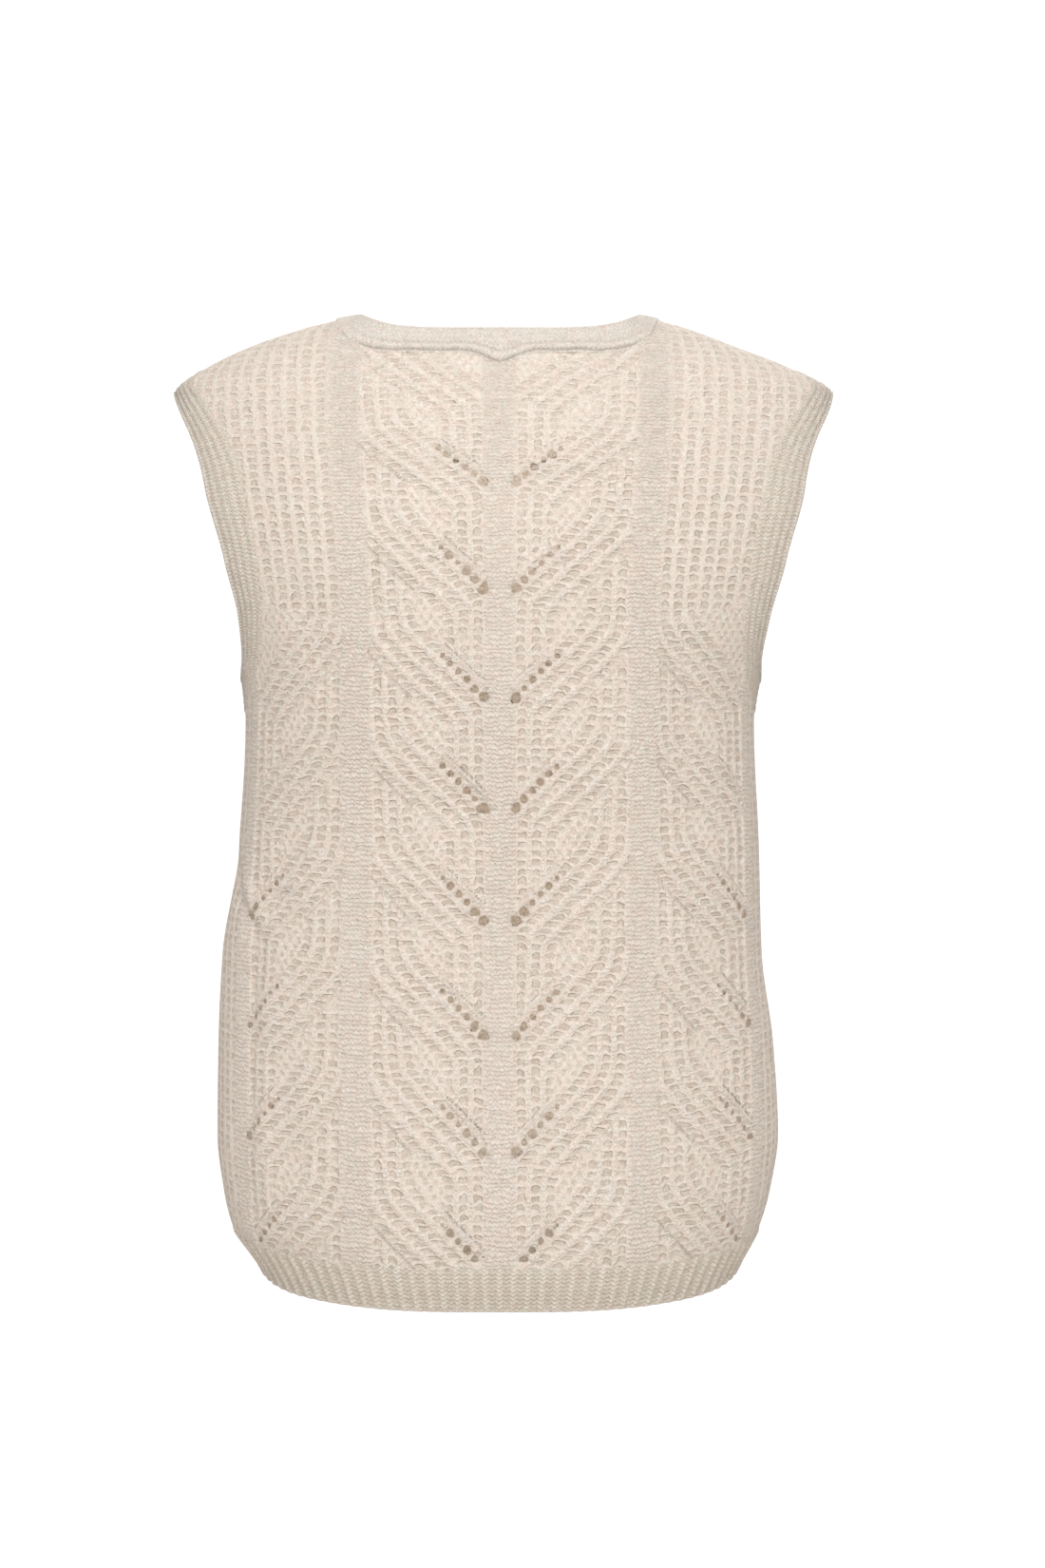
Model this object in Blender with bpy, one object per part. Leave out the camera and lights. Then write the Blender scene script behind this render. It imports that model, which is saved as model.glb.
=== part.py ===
"""Knitted lace sweater vest in its hollow worn form, with no wearer.

Frame: +Z up, +Y the front of the vest, +X the right side of whoever wears it. The origin lies
midway between the shoulders, level with the points where the neckband meets the shoulder seams.

The worn form is a stack of level rings, squared ellipses whose half widths and depths come from
SECTIONS. Both panels and the neckband are regions of that form, laid out like flat pattern
pieces: `run` is the distance along a level ring from the centre of the panel, and `height` is z.
Lengths are in millimetres until a mesh is written.
"""

import math

import bmesh
import bpy
import numpy as np
from mathutils import Vector
from mathutils.geometry import delaunay_2d_cdt

METRE = 0.001  # one millimetre in metres

# ---- The cloth ------------------------------------------------------------------------------
WALL = 1.8  # plain knit between the ridges
RIDGE = 1.2  # how far a rib or a lace ridge stands proud of it
LADDER_MIDDLE = 0.6  # the purl ladder between its two edge ridges
SEAM_GAP = 0.3  # between neighbouring pieces
STITCH = 2.9  # width of one stitch
RIB = 8.2  # one rib and one furrow of the hem

# ---- The worn form: level rings, from the neck down -----------------------------------------
# Half widths at the wearer's left (-X) and right (+X), and depths behind and before the
# shoulder line.
SECTIONS = (
    # height, left, right, back, front
    (8.0, 66.0, 66.0, 48.0, 34.0),
    (0.0, 90.5, 90.0, 56.0, 42.0),
    (-4.0, 102.0, 98.0, 58.5, 45.0),
    (-9.0, 122.0, 116.0, 61.5, 48.5),
    (-20.0, 155.0, 145.5, 67.5, 56.0),
    (-34.0, 184.0, 181.0, 74.0, 65.0),
    (-49.0, 202.0, 205.5, 80.0, 74.0),
    (-70.0, 205.0, 210.0, 86.5, 86.0),
    (-110.0, 203.5, 210.0, 95.5, 104.0),
    (-155.0, 188.0, 195.0, 101.5, 120.0),
    (-190.0, 170.5, 175.5, 104.0, 127.0),
    (-220.0, 161.0, 162.0, 104.5, 128.0),
    (-252.0, 158.5, 157.5, 104.0, 126.0),
    (-335.0, 163.5, 161.0, 99.0, 116.0),
    (-395.0, 173.5, 163.0, 100.5, 113.0),
    (-450.0, 176.0, 170.0, 106.0, 114.0),
    (-506.0, 176.5, 173.0, 112.5, 117.0),
    (-540.0, 172.5, 168.0, 115.0, 118.0),
    (-561.0, 167.5, 162.0, 115.0, 117.0),
    (-586.0, 153.0, 151.5, 111.5, 113.0),
    (-612.0, 144.0, 142.0, 106.0, 108.0),
)
SQUARENESS = 2.3  # 2 is an ellipse; more is squarer

# ---- Neck, armholes and hem -----------------------------------------------------------------
NECK_SEAM_TOP = -3.6  # where the band's seam crosses the shoulder
BACK_NECK_DROP = 14.5
BACK_BAND = 12.7  # height of the band at the centre back, upright
FRONT_NECK_DROP = 72.0
FRONT_BAND = 15.0
# How square each edge of the neck is: 2 is a round scoop, and 10 is level and turns up late.
NECK_POWERS = {"back": (5.0, 10.5), "front": (2.8, 3.0)}
SEAM_DIP = 4.6  # the band's seam sags over the centre ladder of the back
SEAM_DIP_WIDTH = 13.0
BAND_LEAN = 5.0  # at the shoulders the band leans in over the neck
# The armhole edge and the inner side of its ribbed border are ovals, seen from the side.
ARMHOLE = {"top": -48.7, "bottom": -227.0, "back": 55.0, "front": 58.0}
BORDER = {"top": -34.0, "bottom": -247.0, "back": 71.0, "front": 74.0}
BORDER_RIBS = 4
HEM = -605.5  # at the centres of the panels
HEM_RIB_TOP = -580.0
HEM_FLARE = 1.02  # the ribs spread this much from the hem to their top
SIDE_RISE = 15.0  # the side seams pull the hem up
RISE_POWER = 2.6  # 1 is a straight slope from the centre; more stays level for longer
RISE_START = -250.0

# ---- The lace -------------------------------------------------------------------------------
# Ladders stand every LADDER_STEP stitches. Ridges run together in a V on the even ladders and
# apart on the odd ones, three to a leaf, once in every repeat of the pattern.
LADDER_STEP = 30
LADDER_EDGE = 3.0  # stitches from the middle of a ladder to its edge ridge
LADDER_FOOT = 4.3
RIDGE_STEP = 3.0  # stitches from one ridge of a leaf to the next
RIDGE_LAG = 0.07  # how much lower each next ridge lies, in repeats
RIDGE_DROP = 0.04  # how far the first ridge passes under the lowest eyelet, in repeats
RIDGE_START = 21.0  # stitches from the V ladder where the first ridge leaves the upright
FIRST_REPEAT = -109.2  # height of the first line's lowest eyelet at the centre
REPEAT = 64.0
REPEAT_STRETCH = 0.45  # each repeat hangs a little longer than the one above
SPREAD = 0.09  # the shoulders hold the cloth this much wider than the waist
TOP_REPEAT = 53.0  # height of a repeat over the shoulder blades, where the cloth leans forward
FRONT_SHIFT = 0.5  # the front's leaves lie half a repeat below the back's
MESH_REPEATS = 3  # beside the armholes the lace is a plain mesh down to this repeat
EYELET = 2.9  # from the middle of a square eyelet to its corner
EYELETS_PER_LINE = 2
EYELET_FIRST = 6.3  # stitches from the V ladder to the first eyelet
EYELET_STEP = 1.75  # stitches from one to the next
EYELET_RISE = 0.155  # repeats above the line's end
EYELET_LIFT = 0.07
CLEAR = 3.0  # plain cloth left beside a seam or a border

# ---- Mesh density ---------------------------------------------------------------------------
LEVELS = np.linspace(8.0, -612.0, 311)
TURNS = np.linspace(0.0, math.pi / 2, 181)
SHARES = np.linspace(0.0, 1.0, 361)
STEP_SIDE = 30.0
STEP_LADDER = 36.0
STEP_INNER = 26.0
ARMHOLE_POINTS = 17
SHOULDER_POINTS = 7
NECK_POINTS = {"back": 14, "front": 15}  # from the centre to one shoulder


def smooth(value):
    """Ramp from 0 to 1 with level ends."""
    value = np.clip(value, 0.0, 1.0)
    return value * value * (3.0 - 2.0 * value)


def section_column(name):
    """One column of SECTIONS at every level, on a smooth curve through its rows."""
    rows = np.array(SECTIONS)
    heights = rows[::-1, 0]
    values = rows[::-1, {"left": 1, "right": 2, "back": 3, "front": 4}[name]]
    slopes = np.diff(values) / np.diff(heights)
    tangents = np.zeros_like(values)
    same_way = slopes[1:] * slopes[:-1] > 0.0
    mean = 2.0 * slopes[1:] * slopes[:-1] / np.where(same_way, slopes[1:] + slopes[:-1], 1.0)
    tangents[1:-1] = np.where(same_way, mean, 0.0)
    tangents[0], tangents[-1] = slopes[0], slopes[-1]
    index = np.clip(np.searchsorted(heights, LEVELS) - 1, 0, len(heights) - 2)
    span = heights[index + 1] - heights[index]
    t = (LEVELS - heights[index]) / span
    return (
        values[index] * (1.0 + 2.0 * t) * (1.0 - t) ** 2
        + values[index + 1] * t**2 * (3.0 - 2.0 * t)
        + tangents[index] * span * t * (1.0 - t) ** 2
        - tangents[index + 1] * span * t**2 * (1.0 - t)
    )


COLUMNS = {name: section_column(name) for name in ("left", "right", "back", "front")}
SLOPES = {name: np.gradient(column, LEVELS) for name, column in COLUMNS.items()}


def at_level(table, height):
    """A column's value at a height."""
    return np.interp(height, LEVELS[::-1], table[::-1])


def ring_table(side, face):
    """Distance along each level ring from the panel's centre, at every turn."""
    half = COLUMNS[side][:, None]
    depth = COLUMNS[face][:, None]
    power = 2.0 / SQUARENESS
    x = half * np.sin(TURNS) ** power
    y = depth * np.cos(TURNS).clip(0.0) ** power
    steps = np.hypot(np.diff(x, axis=1), np.diff(y, axis=1))
    return np.concatenate([np.zeros((len(LEVELS), 1)), np.cumsum(steps, axis=1)], axis=1)


RING_RUNS = {
    (side, face): ring_table(side, face) for side in ("left", "right") for face in ("back", "front")
}
RING_TURNS = {
    key: np.array([np.interp(SHARES * row[-1], row, TURNS) for row in table])
    for key, table in RING_RUNS.items()
}


def lookup(table, height, column):
    """Value between the rows (levels) and columns of a table."""
    level = np.clip((LEVELS[0] - height) / (LEVELS[0] - LEVELS[1]), 0, len(LEVELS) - 1.001)
    column = np.clip(column, 0, table.shape[1] - 1.001)
    row, along = level.astype(int), column.astype(int)
    a, b = level - row, column - along
    upper = table[row, along] * (1 - b) + table[row, along + 1] * b
    lower = table[row + 1, along] * (1 - b) + table[row + 1, along + 1] * b
    return upper * (1 - a) + lower * a


def run_to(turn, height, side, face):
    """Distance along the ring at a height, from the centre to a turn."""
    column = np.asarray(turn) / (TURNS[1] - TURNS[0])
    return lookup(RING_RUNS[side, face], np.asarray(height, float), column)


def quarter(height, side, face):
    """Length of a ring from the centre of a panel to its side."""
    return at_level(RING_RUNS[side, face][:, -1], height)


def folds(turn, height, side, face):
    """Outward shift of the cloth: a valley down each side seam, and soft flutes over the hips."""
    low = smooth((-300.0 - height) / 120.0)
    seam = np.exp(-(((math.pi / 2 - turn) / 0.09) ** 2))
    deep = 3.2 if side == "left" else 2.2
    hips = smooth((-380.0 - height) / 160.0) * np.sin(turn) ** 2
    lean = 0.4 if face == "back" else 1.9
    flute = 1.6 * hips * np.cos(5.0 * turn + lean) * np.cos(turn) ** 0.5
    spine = -1.5 * np.exp(-((turn / 0.30) ** 2)) * smooth((-60.0 - height) / 90.0)
    spine = spine * (face == "back")
    return -deep * low * seam + flute + spine


def on_form(turn, height, side, face, out=0.0):
    """Points of the form at a turn and height, moved out along its normal."""
    turn, height = np.broadcast_arrays(np.asarray(turn, float), np.asarray(height, float))
    half, depth = at_level(COLUMNS[side], height), at_level(COLUMNS[face], height)
    power = 2.0 / SQUARENESS
    across = np.sin(turn).clip(0.0) ** power
    along = np.cos(turn).clip(0.0) ** power
    sideways = -1.0 if side == "left" else 1.0
    forward = -1.0 if face == "back" else 1.0
    lift = across**SQUARENESS * at_level(SLOPES[side], height) / half
    lift = lift + along**SQUARENESS * at_level(SLOPES[face], height) / depth
    normal = np.stack(
        [
            sideways * across ** (SQUARENESS - 1.0) / half,
            forward * along ** (SQUARENESS - 1.0) / depth,
            -lift,
        ],
        axis=-1,
    )
    normal /= np.linalg.norm(normal, axis=-1, keepdims=True)
    place = np.stack([sideways * half * across, forward * depth * along, height], axis=-1)
    move = np.asarray(out) + folds(turn, height, side, face)
    return place + normal * np.broadcast_to(move, height.shape)[..., None]


def cloth(run, height, face, out=0.0):
    """Points of a panel: run is signed, + to the wearer's right."""
    run, height = np.asarray(run, float), np.asarray(height, float)
    out = np.broadcast_to(np.asarray(out, float), run.shape)
    places = np.zeros(run.shape + (3,))
    for side, chosen in (("left", run < 0.0), ("right", run >= 0.0)):
        share = np.abs(run[chosen]) / quarter(height[chosen], side, face)
        turn = lookup(RING_TURNS[side, face], height[chosen], share * (len(SHARES) - 1))
        places[chosen] = on_form(turn, height[chosen], side, face, out[chosen])
    return places


# ---- Outlines -------------------------------------------------------------------------------
def turn_at(x, height, side):
    """Turn at which a ring reaches a distance from the middle."""
    share = np.clip(np.asarray(x) / at_level(COLUMNS[side], height), 0.0, 1.0)
    return np.arcsin(share ** (SQUARENESS / 2.0))


def neck_line(share, down, side, face):
    """Turn and height on the neckband: share 0 at the centre to 1 at the shoulder, down 0 at
    its edge to 1 at its seam. The back neck is nearly level, and the front neck is scooped."""
    share = np.asarray(share, float)
    back = face == "back"
    drop, band = (BACK_NECK_DROP, BACK_BAND) if back else (FRONT_NECK_DROP, FRONT_BAND)
    edge_power, seam_power = NECK_POWERS[face]
    edge_width = at_level(COLUMNS[side], 0.0)
    seam_width = at_level(COLUMNS[side], NECK_SEAM_TOP)
    edge = -drop * (1.0 - share**edge_power)
    seam = NECK_SEAM_TOP - (drop + band + NECK_SEAM_TOP) * (1.0 - share**seam_power)
    seam = seam - back * SEAM_DIP * np.exp(-((share * seam_width / SEAM_DIP_WIDTH) ** 2))
    x = share * (edge_width + (seam_width - edge_width) * down)
    height = edge + (seam - edge) * down
    return np.where(share >= 1.0, math.pi / 2, turn_at(x, height, side)), height


def neck_shares(face):
    """Stations from the centre to the shoulder, closer together near the shoulder."""
    return np.sin(np.linspace(0.0, math.pi / 2, NECK_POINTS[face] + 1))


def armhole_line(angle, inward, side, face):
    """Run and height beside an armhole: angle 0 at the shoulder to pi at the underarm, inward 0
    at the edge to 1 at the inner side of the border."""
    oval = {name: ARMHOLE[name] + (BORDER[name] - ARMHOLE[name]) * inward for name in ARMHOLE}
    middle, half_height = (oval["top"] + oval["bottom"]) / 2, (oval["top"] - oval["bottom"]) / 2
    height = middle + half_height * np.cos(angle)
    depth = oval[face] * np.sin(angle).clip(0.0)
    share = np.clip(depth / at_level(COLUMNS[face], height), 0.0, 1.0)
    run = run_to(np.arccos(share ** (SQUARENESS / 2.0)), height, side, face)
    limit = quarter(height, side, face) - SEAM_GAP / 2
    return np.minimum(run, limit), height


def side_rise(run, height, side, face):
    """How far the side seam lifts the cloth at a run, on the row that is at height at the centre."""
    ramp = smooth((RISE_START - height) / (RISE_START - HEM))
    return SIDE_RISE * ramp * (np.abs(run) / quarter(height, side, face)) ** RISE_POWER


def half_outline(side, face, inset=0.0, border=0.0, hem=HEM):
    """Half of a panel's outline, from the centre of the hem round to the centre of the neck."""
    limit = quarter(hem + SIDE_RISE, side, face) - SEAM_GAP / 2 - inset
    ribs = int(limit / (RIB / 2))
    run = np.linspace(0.0, limit, ribs + 1)
    bottom = np.stack([run, hem + side_rise(run, hem, side, face) + inset], axis=1)
    angle = np.linspace(math.pi, 0.0, ARMHOLE_POINTS)
    arm_run, arm_height = armhole_line(angle, border, side, face)
    arm_run = np.minimum(arm_run, quarter(arm_height, side, face) - SEAM_GAP / 2 - inset)
    low, high = bottom[-1, 1], arm_height[0]
    rows = np.linspace(low, high, int((high - low) / STEP_SIDE) + 2)[1:-1]
    seam = np.stack([quarter(rows, side, face) - SEAM_GAP / 2 - inset, rows], axis=1)
    shoulder = np.linspace(arm_height[-1], NECK_SEAM_TOP, SHOULDER_POINTS + 2)[1:-1]
    shoulder_run = quarter(shoulder, side, face) - SEAM_GAP / 2 - inset
    down = 1.0 + (SEAM_GAP + inset) / FRONT_BAND
    turn, neck = neck_line(neck_shares(face)[::-1], down, side, face)
    neck_run = run_to(turn, neck, side, face)
    neck_run = np.minimum(neck_run, quarter(neck, side, face) - SEAM_GAP / 2 - inset)
    return np.concatenate(
        [
            bottom,
            seam,
            np.stack([arm_run, arm_height], axis=1),
            np.stack([shoulder_run, shoulder], axis=1),
            np.stack([neck_run, neck], axis=1),
        ]
    )


def whole_outline(face, **sizes):
    """Closed outline of a panel, anticlockwise from the centre of the hem."""
    right = half_outline("right", face, **sizes)
    left = half_outline("left", face, **sizes)[::-1] * (-1.0, 1.0)
    return np.concatenate([right, left[1:-1]])


def inside(points, outline):
    """Which points lie within a closed outline (crossings of a level line)."""
    x, y = points[:, None, 0], points[:, None, 1]
    x0, y0 = outline[:, 0], outline[:, 1]
    x1, y1 = np.roll(x0, -1), np.roll(y0, -1)
    spans = (y0 > y) != (y1 > y)
    with np.errstate(divide="ignore", invalid="ignore"):
        crossing = x0 + (y - y0) * (x1 - x0) / (y1 - y0)
    return (spans & (x < crossing)).sum(axis=1) % 2 == 1


# ---- The lace pattern -----------------------------------------------------------------------
def lace_to_cloth(stitch, repeat, face):
    """Run and height of a place in the lace: stitches from the centre, repeats down."""
    stitch, repeat = np.asarray(stitch, float), np.asarray(repeat, float)
    repeat = repeat + (FRONT_SHIFT if face == "front" else 0.0)
    height = np.where(repeat < 0.0, TOP_REPEAT, REPEAT)
    level = FIRST_REPEAT - height * repeat - REPEAT_STRETCH * repeat * np.abs(repeat)
    run = stitch * STITCH * (1.0 + SPREAD * smooth((level + 200.0) / 160.0))
    rise = np.where(
        run < 0.0,
        side_rise(run, level, "left", face),
        side_rise(run, level, "right", face),
    )
    return np.stack([run, level + rise], axis=-1)


def ridge_line(place):
    """One ridge of a leaf, in stitches from the V ladder and repeats down. Place 1 is the ridge
    under the eyelets, 2 and 3 lie beside it; halves are the furrows between them."""
    beside = (place - 1.0) * RIDGE_STEP
    lag = (place - 1.0) * RIDGE_LAG
    top, bottom = RIDGE_START + beside, LADDER_EDGE + beside
    tail = 0.22 if place == int(place) else 0.0
    line = [(top, -0.74 - tail), (top - 0.8, -0.70), (top - 6.5, -0.46), (top - 12.5, -0.20)]
    line += [(bottom + 0.8, 0.0), (bottom, 0.06 + tail)]
    return np.array(line) + (0.0, lag + RIDGE_DROP)


def leaf_cells(face):
    """Each leaf's V ladder, in stitches, the way it opens from there, and its repeat."""
    reach = int(quarter(HEM, "left", face) / STITCH) + LADDER_STEP
    for ladder in range(-2 * LADDER_STEP, 2 * LADDER_STEP + 1, 2 * LADDER_STEP):
        for way in (-1, 1):
            if abs(ladder + way * LADDER_STEP) <= reach:
                first = MESH_REPEATS + 1 if ladder else -1
                for repeat in range(first, 9):
                    yield ladder, way, repeat


class Layout:
    """Points, edges and heights of a panel's outer side, gathered before it is triangulated."""

    def __init__(self):
        self.points, self.out, self.edges = [], [], []

    def add(self, line, out, closed=False):
        """Add a line of points with one height, or a height each, joined in order."""
        first = len(self.points)
        line = np.asarray(line, float)
        self.points.extend(line)
        self.out.extend(np.broadcast_to(out, len(line)))
        self.edges.extend((first + i, first + i + 1) for i in range(len(line) - 1))
        if closed:
            self.edges.append((first + len(line) - 1, first))

    def add_spur(self, index, point, out):
        """Add a point joined to one that is already there."""
        self.edges.append((index, len(self.points)))
        self.points.append(np.asarray(point, float))
        self.out.append(out)

    def add_within(self, line, out, zone):
        """Add the stretches of a line that lie within a zone."""
        kept = inside(line, zone)
        start = None
        for index in range(len(line) + 1):
            if index < len(line) and kept[index]:
                start = index if start is None else start
            elif start is not None:
                self.add(line[start:index], out)
                start = None


def lay_hem_ribs(layout, outline, hem_rib, face):
    """Upright ribs of the hem: rib and furrow by turns, from the hem's points to the rib top."""
    for index in np.flatnonzero(outline[:, 1] <= HEM + SIDE_RISE + 0.01):
        run = outline[index, 0]
        side = "left" if run < 0.0 else "right"
        if abs(run) < quarter(HEM_RIB_TOP, side, face) / HEM_FLARE - CLEAR:
            lift = side_rise(abs(run), HEM_RIB_TOP, side, face)
            layout.add_spur(index, (run * HEM_FLARE, HEM_RIB_TOP + lift), hem_rib[index])


def lay_border_ribs(layout, face):
    """Ribs of an armhole's border, which follow its edge from the shoulder to the underarm."""
    lines = 2 * BORDER_RIBS + 1
    angle = np.linspace(0.0, math.pi, ARMHOLE_POINTS)
    for side, way in (("right", 1.0), ("left", -1.0)):
        for line in range(lines):
            inward = 0.10 + 0.86 * line / (lines - 1)
            run, height = armhole_line(angle, inward, side, face)
            clear = run < quarter(height, side, face) - 2.0
            points = np.stack([run * way, height], axis=1)[clear]
            layout.add(points, RIDGE if line % 2 else 0.0)


def lay_ladders(layout, face, zone):
    """Purl ladders: two edge ridges, a slightly raised middle, and a foot at each side."""
    repeats = np.arange(-2.0, 7.6, STEP_LADDER / REPEAT)
    for ladder in range(-3 * LADDER_STEP, 3 * LADDER_STEP + 1, LADDER_STEP):
        for offset, out in (
            (-LADDER_FOOT, 0.0),
            (-LADDER_EDGE, RIDGE),
            (0.0, LADDER_MIDDLE),
            (LADDER_EDGE, RIDGE),
            (LADDER_FOOT, 0.0),
        ):
            stitch = np.full(len(repeats), ladder + offset)
            layout.add_within(lace_to_cloth(stitch, repeats, face), out, zone)


def lay_leaves(layout, face, zone):
    """The slanting ridges of every leaf, with furrows between them."""
    for ladder, way, repeat in leaf_cells(face):
        for place in np.arange(0.5, 4.0, 0.5):
            line = ridge_line(place)
            low = LADDER_FOOT + 0.7 if place >= 1.0 else EYELET_FIRST + EYELETS_PER_LINE * EYELET_STEP
            high = LADDER_STEP - LADDER_FOOT - 0.7
            line = line[(line[:, 0] >= low) & (line[:, 0] <= high)]
            stitch = ladder + way * line[:, 0]
            points = lace_to_cloth(stitch, line[:, 1] + repeat, face)
            raised = abs(place - round(place)) < 0.1
            layout.add_within(points, RIDGE if raised else 0.0, zone)


def eyelets(face, zone):
    """The largest eyelets of each leaf, square, just above the first ridge by the V ladder."""
    holes = []
    slant = math.radians(8.0)
    corners = slant + np.arange(4) * math.pi / 2
    ring = EYELET * np.stack([np.cos(corners), np.sin(corners)], axis=1)
    for ladder, way, repeat in leaf_cells(face):
        for number in range(EYELETS_PER_LINE if repeat >= 0 else 0):
            stitch = ladder + way * (EYELET_FIRST + EYELET_STEP * number)
            middle = lace_to_cloth(stitch, repeat - EYELET_RISE - EYELET_LIFT * number, face)
            hole = middle + ring * (way, 1.0)
            if inside(hole, zone).all():
                holes.append(hole[::way])
    return holes


def panel_mesh(face):
    """Points (mm) and triangles of one panel: a patterned outer side over a plain inner one."""
    outline = whole_outline(face)
    lace = whole_outline(face, inset=CLEAR, border=1.0, hem=HEM_RIB_TOP)
    holes = eyelets(face, lace)
    layout = Layout()
    hem_rib = np.zeros(len(outline))
    on_hem = outline[:, 1] <= HEM + SIDE_RISE + 0.01
    order = np.round(np.abs(outline[:, 0]) / (RIB / 2)).astype(int)
    hem_rib[on_hem & (order % 2 == 1)] = RIDGE
    layout.add(outline, hem_rib, closed=True)
    for hole in holes:
        layout.add(hole, 0.0, closed=True)
    rim = len(layout.points)
    lay_hem_ribs(layout, outline, hem_rib, face)
    lay_border_ribs(layout, face)
    lay_ladders(layout, face, lace)
    lay_leaves(layout, face, lace)
    outer = triangulate(layout, outline, holes)
    inner_layout = Layout()
    inner_layout.add(outline, 0.0, closed=True)
    for hole in holes:
        inner_layout.add(hole, 0.0, closed=True)
    grid_run, grid_height = np.meshgrid(
        np.arange(-260.0, 261.0, STEP_INNER), np.arange(HEM, 0.0, STEP_INNER)
    )
    grid = np.stack([grid_run.ravel(), grid_height.ravel()], axis=1)
    spaced = np.array([np.hypot(*(outline - p).T).min() > STEP_INNER / 3 for p in grid])
    grid = grid[inside(grid, outline) & spaced]
    for point in grid:
        inner_layout.add([point], 0.0)
    inner = triangulate(inner_layout, outline, holes)
    outer_points = np.array(layout.points)
    inner_points = np.array(inner_layout.points)
    points = np.concatenate(
        [
            cloth(outer_points[:, 0], outer_points[:, 1], face, np.array(layout.out)),
            cloth(inner_points[:, 0], inner_points[:, 1], face, -WALL),
        ]
    )
    shift = len(outer_points)
    faces = [tuple(t) for t in outer] + [(c + shift, b + shift, a + shift) for a, b, c in inner]
    start = 0
    for ring in [outline] + holes:
        for index in range(len(ring)):
            a, b = start + index, start + (index + 1) % len(ring)
            faces += [(b, a, a + shift), (b, a + shift, b + shift)]
        start += len(ring)
    assert start == rim
    return points, faces


def triangulate(layout, outline, holes):
    """Triangles of a layout that lie inside its outline and outside its holes."""
    vectors = [Vector(point) for point in layout.points]
    found = delaunay_2d_cdt(vectors, layout.edges, [], 0, 1e-5, True)
    made, triangles, origins = found[0], found[2], found[3]
    if len(made) != len(vectors) or any(len(origin) != 1 for origin in origins):
        extra = [tuple(round(c, 1) for c in made[i]) for i, o in enumerate(origins) if len(o) != 1]
        raise ValueError(f"pattern lines meet: {len(vectors)} points became {len(made)} {extra[:40]}")
    index = np.array([origin[0] for origin in origins])
    triangles = index[np.array(triangles)]
    middles = np.array(layout.points)[triangles].mean(axis=1)
    keep = inside(middles, outline)
    for hole in holes:
        near = np.hypot(*(middles - hole.mean(axis=0)).T) < 2.0 * EYELET
        keep[near] &= ~inside(middles[near], hole)
    return triangles[keep]


# ---- The neckband ---------------------------------------------------------------------------
BAND_PROFILE = (
    # down, out: from the free edge over the outside to the seam
    (0.0, 0.3),
    (0.12, 1.6),
    (0.45, 1.3),
    (0.60, 0.7),
    (0.72, 1.5),
    (0.84, 0.6),
    (1.0, 0.9),
)
BAND_INSIDE = (1.0, 0.5, 0.0)


def band_mesh():
    """Points (mm) and faces of the neckband: its profile carried round the neck."""
    stations = []
    for side, face, order in (
        ("right", "back", 1),
        ("right", "front", -1),
        ("left", "front", 1),
        ("left", "back", -1),
    ):
        shares = neck_shares(face)[::order]
        stations += [(share, side, face) for share in shares[:-1]]
    rings = []
    for share, side, face in stations:
        ring = [(down, out) for down, out in BAND_PROFILE] + [(down, -WALL) for down in BAND_INSIDE]
        down = np.array([down for down, _ in ring])
        turn, height = neck_line(share, down, side, face)
        places = on_form(turn, height, side, face, np.array([out for _, out in ring]))
        lean = BAND_LEAN * share**12 * (1.0 - down) ** 1.5
        places[:, 0] -= lean * (-1.0 if side == "left" else 1.0)
        places[:, 2] -= 0.25 * lean
        rings.append(places)
    points = np.concatenate(rings)
    width, count = len(rings[0]), len(rings)
    faces = []
    for i in range(count):
        for j in range(width):
            a, b = i * width + j, i * width + (j + 1) % width
            c, d = (i + 1) % count * width + (j + 1) % width, (i + 1) % count * width + j
            faces += [(a, b, c), (a, c, d)]
    return points, faces


# ---- Into the scene -------------------------------------------------------------------------
def wool(name, colour):
    """Brushed wool knit: rough, never metallic."""
    material = bpy.data.materials.new(name)
    material.use_nodes = True
    shader = material.node_tree.nodes["Principled BSDF"]
    shader.inputs["Base Color"].default_value = (*colour, 1.0)
    shader.inputs["Roughness"].default_value = 0.95
    shader.inputs["Metallic"].default_value = 0.0
    return material


def add_piece(name, points, faces, material):
    """One closed body, its faces pointing out."""
    mesh = bpy.data.meshes.new(name)
    mesh.from_pydata((points * METRE).tolist(), [], [tuple(map(int, face)) for face in faces])
    shape = bmesh.new()
    shape.from_mesh(mesh)
    bmesh.ops.recalc_face_normals(shape, faces=shape.faces)
    shape.to_mesh(mesh)
    shape.free()
    mesh.shade_smooth()
    mesh.set_sharp_from_angle(angle=math.radians(50.0))
    mesh.materials.append(material)
    piece = bpy.data.objects.new(name, mesh)
    bpy.context.scene.collection.objects.link(piece)
    return piece


def main():
    for old in list(bpy.data.objects):
        bpy.data.objects.remove(old, do_unlink=True)
    knit = wool("oatmeal_lace_knit", (0.74, 0.68, 0.60))
    band = wool("oatmeal_band_knit", (0.76, 0.70, 0.62))
    for face in ("back", "front"):
        add_piece(face + "_panel", *panel_mesh(face), knit)
    add_piece("neckband", *band_mesh(), band)


main()
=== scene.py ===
"""Knitted lace sweater vest in its hollow worn form, seen from behind.

Laid out as a Blender add-on and run as a script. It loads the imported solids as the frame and
dresses them in knit: +Z up, +Y the front of the vest, +X the wearer's right, in metres. The
shape functions work in millimetres, on the same form, outlines and lace lines as the solids.
"""

import math
from functools import partial

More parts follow.
